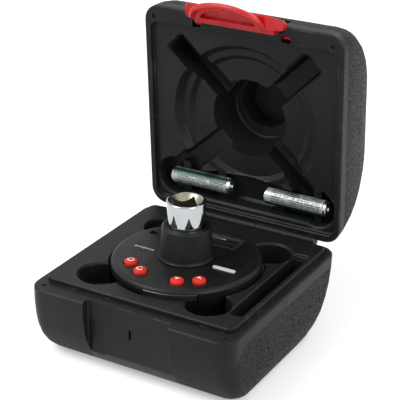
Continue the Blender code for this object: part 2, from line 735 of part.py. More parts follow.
def handle_bay():
    """The notch in the lid's front, the channel for the handle's hub and its two windows."""
    front = -CASE_DEPTH / 2
    rim = HINGE.z
    back = front + NOTCH_FLOOR
    levels = [(rim - OVERCUT, NOTCH_HALF_WIDTH + NOTCH_TAPER), (rim + NOTCH_DEPTH, NOTCH_HALF_WIDTH)]
    notch = loft("cut_notch", [rounded_ring(-half, half, front - OVERCUT, back, 0.001, level, 2)
                               for level, half in levels], CUTTERS)
    channel = block("cut_channel", -NOTCH_HALF_WIDTH + 0.0003, NOTCH_HALF_WIDTH - 0.0003, front - OVERCUT,
                    PIVOT.y + HUB_RADIUS + RUNNING_GAP, rim + NOTCH_SKIN, rim + NOTCH_DEPTH - 0.0003, CUTTERS)
    windows = []
    for side in (-1, 1):
        inner, outer = side * WINDOW_INNER, side * WINDOW_OUTER
        windows.append(block(f"cut_window_{side}", min(inner, outer), max(inner, outer),
                             PIVOT.y - HUB_RADIUS - RUNNING_GAP, PIVOT.y + HUB_RADIUS + RUNNING_GAP,
                             rim - OVERCUT, rim + PIVOT_DEPTH + HUB_RADIUS + 0.0008, CUTTERS))
    return [notch, channel, *windows]


def lid_air_space():
    """The air between the lid's two skins: the outer skin's inside, less every pocket and its wall."""
    rim = HINGE.z
    front = -CASE_DEPTH / 2
    wall = LID_WALL
    inset = wall + LID_WALL_LEAN
    start = PANEL_DEPTH + wall
    deep = LID_HEIGHT - wall
    depths = [start + (deep - start) * sin(pi / 2 * bend / 5) for bend in range(6)]
    air = loft("cut_air", [case_ring(depth, inset, LID_HEIGHT, LID_CURVES, CROWN_CORNER, rim + depth, 3)
                           for depth in depths], CUTTERS)
    outer = GAUGE_RADIUS + RING_CLEARANCE + RING_SLOPE + wall
    throat = COLLAR_BASE_RADIUS + LID_WELL_CLEARANCE
    ledge = COLLAR_TOP + LID_WELL_CLEARANCE + wall
    profile = [(0.0, rim), (outer, rim), (outer, rim + PANEL_DEPTH + wall),
               (outer - RING_SLOPE, rim + RING_DEPTH + wall),
               (outer - RING_SLOPE - INNER_RING_SLOPE, rim + RING_FLOOR + wall),
               (throat + WELL_MOUTH_SLOPE + wall, rim + RING_FLOOR + wall), (throat + wall, COLLAR_TOP + wall),
               (throat + wall, ledge), (0.0, ledge)]
    kept = [turned("keep_rings", profile, 20, CUTTERS),
            lid_crown("keep_crown", wall, rim + LID_HEIGHT - wall + OVERCUT)]
    long, wide = ARM_REACH + wall, ARM_WIDTH / 2 + wall
    for number, angle in enumerate((*ARM_ANGLES, ARM_SHALLOW_ANGLE)):
        depth = ARM_SHALLOW_DEPTH if angle == ARM_SHALLOW_ANGLE else ARM_DEPTH
        arm = block(f"keep_arm_{number}", 0.0, long, -wide, wide, rim, rim + depth + wall, CUTTERS)
        kept.append(turn_about_z(arm, angle))
    trough = TROUGH_LID_WIDTH / 2 + wall
    kept.append(block("keep_cells", -BAY_CENTRE, BAY_CENTRE, CELL_Y - trough, CELL_Y + trough, rim,
                      rim + TROUGH_LID_DEPTH + wall, CUTTERS))
    for side in (-1, 1):
        kept.append(cylinder(f"keep_bay_{side}", BAY_RADIUS + wall, rim, rim + TROUGH_LID_DEPTH + wall + 0.0002,
                             (side * BAY_CENTRE, HINGE.y - BAY_FROM_HINGE), 12, CUTTERS))
    kept.append(block("keep_handle_bay", -WINDOW_OUTER - wall, WINDOW_OUTER + wall, front,
                      PIVOT.y + HUB_RADIUS + RUNNING_GAP + wall, rim, rim + NOTCH_DEPTH + wall, CUTTERS))
    cut(air, *kept)
    vent = cylinder("blowing_hole", VENT_RADIUS, rim + TROUGH_LID_DEPTH - 0.001,
                    rim + TROUGH_LID_DEPTH + wall + 0.002, (CELL_OFFSETS[0], CELL_Y), 12)
    return join(air, vent)


def build_case_lid(plastic):
    lid = case_half("case_lid", LID_HEIGHT, LID_CURVES, CROWN_CORNER, HINGE.z, 1.0)
    add_knuckles(lid, range(1, KNUCKLE_COUNT, 2), HINGE.z + 0.0005, HINGE.z + 0.009)
    clear_knuckles(lid, range(0, KNUCKLE_COUNT, 2))
    cut(lid, rod("cut_lid_pin", HINGE_PIN_RADIUS + SEAT_GAP, *pin_bounds(SEAT_GAP), HINGE.y, HINGE.z,
                 16, CUTTERS))
    half_width = DECK_HALF_WIDTH + PANEL_CLEARANCE
    cut(lid, pocket("cut_panel", -half_width, half_width, -DECK_FRONT - PANEL_CLEARANCE,
                    DECK_REAR + PANEL_CLEARANCE, DECK_CORNER, HINGE.z, HINGE.z + PANEL_DEPTH, 0.0005, 0.0005))
    cut(lid, lid_rings())
    for index, angle in enumerate(ARM_ANGLES):
        cut(lid, lid_arm(f"cut_arm_{index}", angle, ARM_DEPTH))
    cut(lid, lid_arm("cut_arm_shallow", ARM_SHALLOW_ANGLE, ARM_SHALLOW_DEPTH))
    cut(lid, lid_well(), lid_crown("cut_crown", 0.0, SOCKET_TOP + CROWN_CLEARANCE))
    cut(lid, *cell_trough())
    cut(lid, lid_air_space())
    for number, offset in enumerate(CELL_OFFSETS):
        for side in (-1, 1):
            join(lid, cell_saddle(f"saddle_{number}_{side}", offset + side * SADDLE_SPREAD))
    cut(lid, *handle_bay())
    for side in (-1, 1):
        place = (side * (CASE_WIDTH / 2 - PIP_INSET), PIP_INSET - CASE_DEPTH / 2)
        cut(lid, cylinder(f"cut_dimple_{side}", PIP_RADIUS + 0.0004, HINGE.z - OVERCUT, HINGE.z + PIP_HEIGHT,
                          place, 12, CUTTERS))
    return finish(lid, plastic, LID_AXIS)


# Handle

def handle_root():
    """The web inside the notch, seen from the side: hub, web and the tongue that hangs in the bay."""
    front = -CASE_DEPTH / 2
    rim = HINGE.z
    inside = front - HANDLE_FACE_GAP - HANDLE_OVERLAP
    tongue = front + TONGUE_IN
    over_skin = (front + NOTCH_FLOOR - RUNNING_GAP, rim + NOTCH_SKIN + RUNNING_GAP)
    points = [(PIVOT.y, PIVOT.z + HUB_RADIUS * 0.98), (inside, PIVOT.z + HUB_RADIUS * 0.8),
              (inside, rim - TONGUE_DROP), (tongue, rim - TONGUE_DROP + HANDLE_OVERLAP), (tongue, rim),
              over_skin, (PIVOT.y - HUB_RADIUS * 0.2, PIVOT.z - HUB_RADIUS * 0.97)]
    return side_profile("handle_root", points, HANDLE_ROOT_HALF_WIDTH)


def handle_body():
    """The outer body: narrow where it turns in the notch, wide below it, and flared to the lip."""
    front = -CASE_DEPTH / 2
    rim = HINGE.z
    near = front - HANDLE_FACE_GAP
    lip = front - HANDLE_REACH
    low = rim - HANDLE_LIP_DROP
    wide = HANDLE_WING_HALF_WIDTH
    narrow = HANDLE_ROOT_HALF_WIDTH + HANDLE_OVERLAP / 2
    soft = HANDLE_CORNER
    sections = [(low - soft, HANDLE_LIP_HALF_WIDTH - soft, lip + soft, lip + HANDLE_LIP_HEIGHT - soft),
                (low + soft, HANDLE_LIP_HALF_WIDTH, lip, lip + HANDLE_LIP_HEIGHT),
                (rim - TONGUE_DROP, wide, front - HANDLE_BELLY_OUT, near),
                (rim - HANDLE_SHOULDER_DROP, wide, front - HANDLE_SHOULDER_OUT, near),
                (rim - HANDLE_NECK_DROP * 2, wide - soft * 2, front - HANDLE_NECK_OUT - soft / 2, near),
                (rim - HANDLE_NECK_DROP, narrow, front - HANDLE_NECK_OUT, near),
                (PIVOT.z + HUB_RADIUS, narrow - soft, front - HANDLE_TOP_OUT, near)]
    rings = [rounded_ring(-half, half, outer, inner, HANDLE_CORNER, level, 2)
             for level, half, outer, inner in sections]
    return loft("handle", rings)


def handle_arch():
    """The raised bow around the finger scoop, leaning out from its feet to its crown."""
    front = -CASE_DEPTH / 2
    foot_y = front - HANDLE_REACH + HANDLE_LIP_HEIGHT - ARCH_INSET
    foot_z = HINGE.z - HANDLE_LIP_DROP - HANDLE_CORNER
    curve = bpy.data.curves.new("handle_arch", "CURVE")
    curve.dimensions = "3D"
    curve.bevel_depth = ARCH_BAND
    curve.bevel_resolution = 2
    curve.use_fill_caps = True
    line = curve.splines.new("POLY")
    count = 17
    line.points.add(count - 1)
    for index, point in enumerate(line.points):
        angle = pi * index / (count - 1)
        lift = sin(angle)
        point.co = (-ARCH_HALF_WIDTH * cos(angle), foot_y - ARCH_RISE * lift, foot_z - ARCH_LEAN * lift, 1.0)
    item = bpy.data.objects.new("handle_arch", curve)
    PARTS.objects.link(item)
    return freeze(item)


def handle_scoop():
    front = -CASE_DEPTH / 2
    chord = front - HANDLE_REACH + HANDLE_LIP_HEIGHT - SCOOP_INSET
    level = HINGE.z - HANDLE_LIP_DROP
    count = 14
    angles = [pi * index / count for index in range(count + 1)]
    points = [(SCOOP_HALF_WIDTH * cos(angle), chord - SCOOP_REACH * sin(angle)) for angle in angles]
    scoop = outline_solid("cut_scoop", points, 0.02, CUTTERS)
    scoop.data.transform(Matrix.Translation((0.0, 0.0, level + SCOOP_DEPTH - 0.01)))
    return scoop


def build_handle(red):
    handle = handle_body()
    cut(handle, handle_scoop())
    join(handle, handle_root(), handle_arch())
    join(handle, rod("handle_hub", HUB_RADIUS, -HUB_HALF_LENGTH, HUB_HALF_LENGTH, PIVOT.y, PIVOT.z, 20))
    return finish(handle, red, HANDLE_AXIS, 40)


# Gauge

def build_top_cover(plastic):
    """Round cover: face plate, rounded rim and skirt, with openings for what shows through."""
    bore = COLLAR_FOOT_RADIUS - COVER_LIP
    inner = GAUGE_RADIUS - COVER_WALL
    ceiling = FACE - COVER_WALL
    profile = [(bore, FACE), (GAUGE_RADIUS - COVER_ROUNDING, FACE)]
    for step in range(1, 5):
        angle = pi / 2 * (1 - step / 4)
        profile.append((GAUGE_RADIUS - COVER_ROUNDING * (1 - cos(angle)),
                        FACE - COVER_ROUNDING * (1 - sin(angle))))
    profile += [(GAUGE_RADIUS, SEAM + 0.0006), (GAUGE_RADIUS - 0.0005, SEAM), (inner, SEAM),
                (inner, ceiling), (bore, ceiling)]
    cover = turned("housing_top", profile, GAUGE_STEPS, closed=True)
    for name, angle in zip(BUTTON_NAMES, BUTTON_ANGLES):
        cut(cover, cylinder("cut_" + name, BUTTON_RADIUS + RUNNING_GAP, ceiling - OVERCUT, FACE + OVERCUT,
                            button_place(angle), KEY_STEPS, CUTTERS))
    seat = DISPLAY_BORDER
    cut(cover, slab("cut_display", -DISPLAY_HALF_WIDTH - SEAT_GAP, DISPLAY_HALF_WIDTH + SEAT_GAP,
                    DISPLAY_FRONT - SEAT_GAP, DISPLAY_REAR + SEAT_GAP, 0.0012, FACE - BEZEL_SUNK - SEAT_GAP,
                    FACE + OVERCUT, collection=CUTTERS))
    cut(cover, slab("cut_display_hole", -DISPLAY_HALF_WIDTH + seat, DISPLAY_HALF_WIDTH - seat,
                    DISPLAY_FRONT + seat, DISPLAY_REAR - seat, 0.0008, ceiling - OVERCUT, FACE,
                    collection=CUTTERS))
    cut(cover, clip_notch(), door_opening("cut_cover_door", SEAT_GAP))
    return finish(cover, plastic, GAUGE_AXIS)


def clip_notch():
    """A small dark recess in the face near its rear left edge."""
    radius = GAUGE_RADIUS - CLIP_NOTCH_INSET
    size = CLIP_NOTCH_SIZE / 2
    notch = pocket("cut_clip", -size, size, -size * 0.7, size * 0.7, 0.0006, FACE, FACE - CLIP_NOTCH_DEPTH,
                   0.0002, 0.0002)
    place = (radius * cos(CLIP_NOTCH_ANGLE), radius * sin(CLIP_NOTCH_ANGLE))
    return turn_about_z(notch, CLIP_NOTCH_ANGLE, place)


def build_pan(plastic):
    """The lower half: a pan with a floor, a boss around the drive and three board posts."""
    top = SEAM - SEAT_GAP
    wall = COVER_WALL
    boss = SPIGOT_RADIUS + BOSS_WALL
    hole = SPIGOT_RADIUS + SEAT_GAP
    floor = GAUGE_BOTTOM + wall
    low = GAUGE_BOTTOM
    profile = [(hole, low), (PAN_BOTTOM_RADIUS - PAN_CHAMFER, low), (PAN_BOTTOM_RADIUS, low + PAN_CHAMFER),
               (PAN_BAND_RADIUS, top - PAN_BAND_HEIGHT), (PAN_TOP_RADIUS, top - PAN_CHAMFER),
               (PAN_TOP_RADIUS, top), (PAN_TOP_RADIUS - wall, top),
               (PAN_BAND_RADIUS - wall, top - PAN_BAND_HEIGHT),
               (PAN_BOTTOM_RADIUS - wall, floor), (boss, floor), (boss, low + BOSS_HEIGHT),
               (hole, low + BOSS_HEIGHT)]
    pan = turned("housing_base", profile, GAUGE_STEPS, closed=True)
    board_low = BOARD_TOP - BOARD_THICKNESS
    for index, angle in enumerate(POST_ANGLES):
        place = (POST_CIRCLE * cos(angle), POST_CIRCLE * sin(angle))
        join(pan, cylinder(f"pan_post_{index}", POST_RADIUS, floor - 0.001, board_low - SEAT_GAP, place, 12))
    cut(pan, door_opening("cut_pan_door", SEAT_GAP))
    return finish(pan, plastic, GAUGE_AXIS)


def door_profile(extra):
    """Outline of the door in the rim: it follows the cover above and the pan below the seam."""
    high = FACE - DOOR_TOP_BELOW_FACE + extra
    low = FACE - DOOR_TOP_BELOW_FACE - DOOR_HEIGHT - extra
    outer = GAUGE_RADIUS + (OVERCUT if extra else 0.0)
    step = PAN_TOP_RADIUS + (OVERCUT if extra else 0.0)
    inner = PAN_BAND_RADIUS - DOOR_WALL - extra
    return [(outer, high), (outer, SEAM + 0.0004), (step, SEAM - 0.0014),
            (step - 0.0020, low), (inner, low), (inner, high)]


def door_sector(name, extra, collection=None):
    span = DOOR_END - DOOR_START
    spread = extra / GAUGE_RADIUS
    sector = turned(name, door_profile(extra), 12, collection, closed=True, sweep=span + 2 * spread)
    shape = bmesh.new()
    shape.from_mesh(sector.data)
    bmesh.ops.holes_fill(shape, edges=[edge for edge in shape.edges if edge.is_boundary])
    bmesh.ops.recalc_face_normals(shape, faces=shape.faces)
    shape.to_mesh(sector.data)
    shape.free()
    return turn_about_z(sector, DOOR_START - spread)


def door_opening(name, extra):
    return door_sector(name, extra, CUTTERS)


def build_battery_door(plastic):
    """The curved door in the rim, with a shallow thumb recess at its left end."""
    door = door_sector("battery_door", 0.0)
    middle = DOOR_START + THUMB_TAB_SPAN / 2 + radians(1)
    high = FACE - DOOR_TOP_BELOW_FACE - 0.0008
    recess = block("cut_thumb", GAUGE_RADIUS - THUMB_TAB_DEPTH, GAUGE_RADIUS + OVERCUT,
                   -GAUGE_RADIUS * THUMB_TAB_SPAN / 2, GAUGE_RADIUS * THUMB_TAB_SPAN / 2,
                   high - 0.0030, high, CUTTERS)
    cut(door, turn_about_z(recess, middle))
    return finish(door, plastic, GAUGE_AXIS)


def build_seal(rubber):
    """Flat ring between the two halves of the housing."""
    low = SEAM
    high = SEAM + SEAL_HEIGHT
    outer = GAUGE_RADIUS - COVER_WALL - SEAT_GAP
    inner = outer - SEAL_WIDTH
    profile = [(inner, high), (outer, high), (outer, low), (inner, low)]
    seal = turned("housing_seal", profile, GAUGE_STEPS, closed=True)
    cut(seal, door_opening("cut_seal_door", SEAT_GAP))
    return finish(seal, rubber, GAUGE_AXIS)


def build_collar(plastic):
    """The tall hollow collar that the bright socket stands in."""
    foot = FACE + SEAT_GAP
    bore = SOCKET_RADIUS + SEAT_GAP
    shoulder = COLLAR_SHOULDER
    profile = [(bore, COLLAR_TOP), (bore + 0.0008, COLLAR_TOP)]
    for step in range(1, 5):
        angle = pi / 2 * (1 - step / 4)
        profile.append((COLLAR_TOP_RADIUS - shoulder * (1 - cos(angle)),
                        COLLAR_TOP - shoulder * (1 - sin(angle))))
    profile += [(COLLAR_BASE_RADIUS, foot + 0.0022), (COLLAR_BASE_RADIUS + 0.0003, foot + 0.0012),
                (COLLAR_FOOT_RADIUS, foot + 0.0009), (COLLAR_FOOT_RADIUS, foot), (bore, foot)]
    return finish(turned("collar", profile, COLLAR_STEPS, closed=True), plastic, GAUGE_AXIS)


def build_socket(chrome):
    """The bright drive socket: turned outside, a lead-in cone and a square hole inside."""
    bottom = BOARD_TOP + SOCKET_LIFT
    edge = SOCKET_EDGE
    profile = [(0.0, SOCKET_TOP - 0.0004), (SOCKET_LEAD_RADIUS, SOCKET_TOP - 0.0004),
               (SOCKET_LEAD_RADIUS + 0.0003, SOCKET_TOP), (SOCKET_RADIUS - edge, SOCKET_TOP)]
    for step in range(1, 4):
        angle = pi / 2 * (1 - step / 3)
        profile.append((SOCKET_RADIUS - edge * (1 - cos(angle)), SOCKET_TOP - edge * (1 - sin(angle))))
    profile += [(SOCKET_RADIUS, bottom), (0.0, bottom)]
    socket = turned("drive_socket", profile, COLLAR_STEPS)
    half = SOCKET_SQUARE / 2
    cone_floor = SOCKET_TOP - SOCKET_LEAD_DEPTH
    cone = [(0.0, SOCKET_TOP + OVERCUT), (SOCKET_LEAD_RADIUS, SOCKET_TOP + OVERCUT),
            (SOCKET_LEAD_RADIUS, SOCKET_TOP - 0.0005), (half, cone_floor), (0.0, cone_floor)]
    lead = turned("cut_lead", cone, 24, CUTTERS)
    square = slab("cut_square", -half, half, -half, half, 0.0006, SOCKET_TOP - SOCKET_SQUARE_DEPTH,
                  SOCKET_TOP + OVERCUT, collection=CUTTERS)
    cut(socket, lead, turn_about_z(square, DRIVE_TURN))
    cut(socket, cylinder("cut_spigot", SPIGOT_RADIUS + SEAT_GAP, bottom - OVERCUT, bottom + SPIGOT_DEPTH,
                         steps=24, collection=CUTTERS))
    return finish(socket, chrome, GAUGE_AXIS, 30)


def build_drive_square(steel):
    """The square that drives a socket below the gauge, one piece with the measuring body above."""
    half = DRIVE_SQUARE / 2
    top = GAUGE_BOTTOM - SEAT_GAP
    tip = GAUGE_BOTTOM - DRIVE_LENGTH
    levels = [(tip, DRIVE_CHAMFER * 1.4), (tip + DRIVE_CHAMFER, DRIVE_CHAMFER * 0.3),
              (tip + DRIVE_CHAMFER * 2, 0.0), (top, 0.0)]
    rings = [rounded_ring(-half + ease, half - ease, -half + ease, half - ease, 0.0009, level, 3)
             for level, ease in levels]
    square = turn_about_z(loft("drive_square", rings), DRIVE_TURN)
    spigot_top = BOARD_TOP + SOCKET_LIFT + SPIGOT_DEPTH - SEAT_GAP
    bell_in = SPIGOT_RADIUS + BOSS_WALL + SEAT_GAP
    bell_low = GAUGE_BOTTOM + COVER_WALL + SEAT_GAP
    bell_high = GAUGE_BOTTOM + BOSS_HEIGHT + SEAT_GAP
    plate_top = BOARD_TOP - BOARD_THICKNESS - SEAT_GAP
    profile = [(0.0, top - OVERCUT), (SPIGOT_RADIUS, top - OVERCUT), (SPIGOT_RADIUS, bell_high),
               (bell_in, bell_high), (bell_in, bell_low), (HUB_PLATE_RADIUS, bell_low),
               (HUB_PLATE_RADIUS, plate_top), (SPIGOT_RADIUS, plate_top), (SPIGOT_RADIUS, spigot_top),
               (0.0, spigot_top)]
    join(square, turned("drive_body", profile, 24))
    hole = rod("cut_detent", DETENT_RADIUS + RUNNING_GAP / 2, half - DETENT_HOLE_DEPTH, half + OVERCUT, 0.0,
               tip + DETENT_UP_FROM_TIP, 16, CUTTERS)
    cut(square, turn_about_z(hole, DETENT_TURN))
    return finish(square, steel, GAUGE_AXIS, 30)


def detent_place():
    out = DRIVE_SQUARE / 2 + DETENT_STANDOUT - DETENT_RADIUS
    return (out * cos(DETENT_TURN), out * sin(DETENT_TURN), GAUGE_BOTTOM - DRIVE_LENGTH + DETENT_UP_FROM_TIP)


def build_detent(steel):
    """The sprung ball that holds a socket on the square."""
    shape = bmesh.new()
    bmesh.ops.create_uvsphere(shape, u_segments=12, v_segments=8, radius=DETENT_RADIUS)
    bmesh.ops.translate(shape, verts=shape.verts, vec=detent_place())
    ball = mesh_object("detent_ball", shape, PARTS)
    return finish(ball, steel, DETENT_AXIS, 60)


def build_display(bezel_material, window_material, glass_material):
    frame = slab("display_bezel", -DISPLAY_HALF_WIDTH, DISPLAY_HALF_WIDTH, DISPLAY_FRONT, DISPLAY_REAR,
                 0.0010, FACE - BEZEL_SUNK, FACE + BEZEL_PROUD)
    border = DISPLAY_BORDER
    opening = slab("cut_bezel", -DISPLAY_HALF_WIDTH + border, DISPLAY_HALF_WIDTH - border,
                   DISPLAY_FRONT + border, DISPLAY_REAR - border, 0.0006, FACE - OVERCUT, FACE + OVERCUT,
                   collection=CUTTERS)
    cut(frame, opening)
    finish(frame, bezel_material, GAUGE_AXIS)
    gap = border + SEAT_GAP
    window = slab("display_window", -DISPLAY_HALF_WIDTH + gap, DISPLAY_HALF_WIDTH - gap, DISPLAY_FRONT + gap,
                  DISPLAY_REAR - gap, 0.0005, FACE - WINDOW_THICKNESS, FACE)
    finish(window, window_material, GAUGE_AXIS)
    glass_top = FACE - WINDOW_THICKNESS - SEAT_GAP
    glass = block("display_module", -DISPLAY_HALF_WIDTH + gap, DISPLAY_HALF_WIDTH - gap, DISPLAY_FRONT + gap,
                  DISPLAY_REAR - gap, BOARD_TOP + SEAT_GAP, glass_top)
    finish(glass, glass_material, GAUGE_AXIS, 0)


def build_board(laminate):
    low = BOARD_TOP - BOARD_THICKNESS
    board = cylinder("circuit_board", BOARD_RADIUS, low, BOARD_TOP, steps=GAUGE_STEPS)
    cut(board, cylinder("cut_board", SPIGOT_RADIUS + 0.001, low - OVERCUT, BOARD_TOP + OVERCUT, steps=32,
                        collection=CUTTERS))
    cut(board, door_opening("cut_board_door", 0.0008))
    return finish(board, laminate, GAUGE_AXIS)


def build_sounder(plastic):
    low = BOARD_TOP - BOARD_THICKNESS - SEAT_GAP
    sounder = cylinder("sounder", SOUNDER_RADIUS, low - SOUNDER_HEIGHT, low, SOUNDER_PLACE, 16)
    return finish(sounder, plastic, GAUGE_AXIS)


def button_place(angle):
    return BUTTON_CIRCLE * cos(angle), BUTTON_CIRCLE * sin(angle)


def build_button(name, angle, axis, red):
    """A domed cap whose flange stays under the cover, over its switch on the board."""
    crown = FACE + BUTTON_STANDOUT
    ceiling = FACE - COVER_WALL - SEAT_GAP
    flange_low = ceiling - BUTTON_FLANGE_HEIGHT
    stem_low = BOARD_TOP + SEAT_GAP + SWITCH_HEIGHT + BUTTON_TRAVEL + SEAT_GAP
    profile = [(0.0, crown)]
    for step in range(1, 4):
        slope = radians(90 - 26 * step)
        profile.append((BUTTON_RADIUS * cos(slope) * 0.985, crown - BUTTON_DOME * (1 - sin(slope))))
    profile += [(BUTTON_RADIUS, crown - BUTTON_DOME - 0.0002), (BUTTON_RADIUS, ceiling),
                (BUTTON_RADIUS + BUTTON_FLANGE, ceiling), (BUTTON_RADIUS + BUTTON_FLANGE, flange_low),
                (BUTTON_STEM_RADIUS, flange_low), (BUTTON_STEM_RADIUS, stem_low), (0.0, stem_low)]
    cap = turned(name, profile, KEY_STEPS)
    turn_about_z(cap, 0.0, button_place(angle))
    return finish(cap, red, axis)


def build_switch(number, angle, metal):
    half = SWITCH_SIZE / 2
    low = BOARD_TOP + SEAT_GAP
    shoulder = low + SWITCH_HEIGHT - SWITCH_DOME_HEIGHT
    switch = block(f"key_switch_{number}", -half, half, -half, half, low, shoulder)
    join(switch, cylinder(f"key_dome_{number}", SWITCH_DOME_RADIUS, shoulder - 0.0005, low + SWITCH_HEIGHT,
                          steps=12))
    return finish(turn_about_z(switch, angle, button_place(angle)), metal, GAUGE_AXIS)


def build_badge(metal):
    """A bare pill-shaped plate on the face."""
    x, y = BADGE_PLACE
    long, wide = BADGE_LENGTH / 2, BADGE_WIDTH / 2
    low = FACE + SEAT_GAP
    badge = slab("badge_plate", x - long, x + long, y - wide, y + wide, wide, low, low + BADGE_THICKNESS)
    return finish(badge, metal, GAUGE_AXIS)


# Spare cells

def build_cell(number, offset, steel, sleeve_material):
    """A cell lying along X: a steel can with its raised end, and a printed sleeve."""
    axis = CELL_AXES[number]
    core = CELL_RADIUS - CELL_SLEEVE - SLEEVE_GAP
    length = CELL_LENGTH
    shoulder = length - CELL_NUB_HEIGHT
    edge = CELL_EDGE
    profile = [(0.0, 0.0), (core - edge, 0.0), (core, edge), (core, shoulder - edge),
               (core - edge, shoulder), (CELL_NUB_RADIUS, shoulder), (CELL_NUB_RADIUS, length - edge / 2),
               (CELL_NUB_RADIUS - edge / 2, length), (0.0, length)]
    lay = Matrix.Translation((offset - length / 2, CELL_Y, CELL_Z)) @ Matrix.Rotation(pi / 2, 4, "Y")
    can = turned(f"cell_{number}_can", profile, CELL_STEPS)
    can.data.transform(lay)
    finish(can, steel, axis)
    inner = core + SLEEVE_GAP
    sleeve = turned(f"cell_{number}_sleeve",
                    [(inner, shoulder - CELL_NECK), (CELL_RADIUS, shoulder - CELL_NECK),
                     (CELL_RADIUS, CELL_FOOT), (inner, CELL_FOOT)], CELL_STEPS, closed=True)
    sleeve.data.transform(lay)
    finish(sleeve, sleeve_material, axis)


def build():
    black = make_material("moulded black plastic", PLASTIC, 0.55)
    black_lid = make_material("moulded black lid", PLASTIC, 0.5)
    cover_black = make_material("housing black", (0.018, 0.018, 0.019), 0.38)
    pan_black = make_material("lower housing black", (0.016, 0.016, 0.017), 0.42)
    door_black = make_material("door black", (0.02, 0.02, 0.021), 0.4)
    collar_black = make_material("collar black", (0.014, 0.014, 0.015), 0.34)
    red = make_material("red handle", (0.62, 0.02, 0.02), 0.35)
    chrome = make_material("polished chrome", (0.82, 0.83, 0.84), 0.06, 1.0)
    steel = make_material("drive steel", (0.62, 0.62, 0.63), 0.22, 1.0)
    pin_steel = make_material("hinge pin steel", (0.5, 0.5, 0.5), 0.35, 1.0)
    ball_steel = make_material("ball steel", (0.7, 0.7, 0.7), 0.15, 1.0)
    rubber = make_material("seal rubber", (0.01, 0.01, 0.01), 0.8)
    build_case_base(black)
    build_hinge_pin(pin_steel)
    build_case_lid(black_lid)
    build_handle(red)
    build_top_cover(cover_black)
    build_pan(pan_black)
    build_seal(rubber)
    build_battery_door(door_black)
    build_collar(collar_black)
    build_socket(chrome)
    build_drive_square(steel)
    build_detent(ball_steel)
    build_display(make_material("bezel grey", (0.05, 0.055, 0.06), 0.3),
                  make_material("display window", (0.03, 0.035, 0.035), 0.08),
                  make_material("display glass", (0.10, 0.12, 0.10), 0.2))
    build_board(make_material("green laminate", (0.02, 0.12, 0.05), 0.45))
    build_sounder(make_material("sounder black", (0.01, 0.01, 0.01), 0.5))
    build_badge(make_material("bare badge", (0.75, 0.76, 0.77), 0.25, 0.6))
    for number, (name, angle) in enumerate(zip(BUTTON_NAMES, BUTTON_ANGLES)):
        key_red = make_material(f"red key {number}", (0.7, 0.03, 0.02), 0.3)
        build_button(name, angle, BUTTON_AXES[number], key_red)
        build_switch(number, angle, make_material(f"switch metal {number}", (0.5, 0.5, 0.5), 0.3, 0.8))
    for number, offset in enumerate(CELL_OFFSETS):
        build_cell(number, offset, make_material(f"cell steel {number}", (0.7, 0.7, 0.7), 0.2, 1.0),
                   make_material(f"cell sleeve {number}", (0.72, 0.74, 0.72), 0.3))
    LID_AXIS.rotation_euler.x = -LID_OPEN_ANGLE


clear_scene()
PARTS = make_collection("torque_angle_gauge")
CUTTERS = make_collection("cutters")
LID_AXIS = make_empty("lid_axis", HINGE)
HANDLE_AXIS = make_empty("handle_axis", PIVOT, LID_AXIS)
GAUGE_AXIS = make_empty("gauge_axis", (0.0, 0.0, GAUGE_BOTTOM))
DETENT_AXIS = make_empty("detent_axis", detent_place(), GAUGE_AXIS)
BUTTON_AXES = [make_empty(name + "_axis", (*button_place(angle), FACE), GAUGE_AXIS)
               for name, angle in zip(BUTTON_NAMES, BUTTON_ANGLES)]
CELL_AXES = [make_empty(f"cell_{number}_axis", (offset, CELL_Y, CELL_Z), LID_AXIS)
             for number, offset in enumerate(CELL_OFFSETS)]
build()
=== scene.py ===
"""Dresses the packed torque angle gauge: the disc gauge lying in its open moulded case.

Laid out as an add-on and run as a script. Metres, +Z up, in the frame of the packed model,
at rest: the lid stands open behind the gauge and the handle hangs at the lid's far end.
"""

from math import cos, pi, radians, sin, sqrt

import bmesh
import bpy
from mathutils import Matrix, Vector


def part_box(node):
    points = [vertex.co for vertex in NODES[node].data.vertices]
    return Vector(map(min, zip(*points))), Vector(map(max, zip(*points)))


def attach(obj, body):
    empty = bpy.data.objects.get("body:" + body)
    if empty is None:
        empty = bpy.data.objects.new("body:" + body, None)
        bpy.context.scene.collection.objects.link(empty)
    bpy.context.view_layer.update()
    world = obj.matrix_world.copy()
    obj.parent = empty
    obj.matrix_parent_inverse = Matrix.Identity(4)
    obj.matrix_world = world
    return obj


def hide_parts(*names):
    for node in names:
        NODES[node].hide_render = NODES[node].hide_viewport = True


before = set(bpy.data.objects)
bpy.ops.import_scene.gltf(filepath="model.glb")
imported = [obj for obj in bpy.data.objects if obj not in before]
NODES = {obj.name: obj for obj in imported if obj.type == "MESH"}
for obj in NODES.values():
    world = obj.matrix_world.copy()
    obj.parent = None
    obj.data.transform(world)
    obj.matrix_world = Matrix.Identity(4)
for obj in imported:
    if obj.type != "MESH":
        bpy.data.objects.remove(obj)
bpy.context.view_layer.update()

bl_info = {
    "name": "Torque angle gauge in its case",
    "version": (1, 0, 0),
    "blender": (4, 5, 0),
    "location": "3D View > Sidebar > Gauge",
    "description": "Dresses the packed gauge, its case, handle and spare cells, and sets the stage",
    "category": "Object",
}

# Levels and places of the packed model, read from its nodes

COVER_LOW, COVER_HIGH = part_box("housing_top")
PAN_LOW, PAN_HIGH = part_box("housing_base")
COLLAR_LOW, COLLAR_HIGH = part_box("collar")
SOCKET_LOW, SOCKET_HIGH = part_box("drive_socket")
BEZEL_LOW, BEZEL_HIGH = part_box("display_bezel")
BADGE_LOW, BADGE_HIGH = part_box("badge_plate")
FACE = COVER_HIGH.z
SEAM = COVER_LOW.z
COVER_RADIUS = COVER_HIGH.x
KEY_NODES = ("button_power", "button_reset", "button_down", "button_up")
KEY_BODIES = ("key_power", "key_reset", "key_down", "key_up")
HINGE_Y, HINGE_Z = 0.0689, 0.04775
LID_OPEN = radians(87.5)
BASE_RIM = 0.047
DOOR_START, DOOR_END = radians(-93), radians(-51)

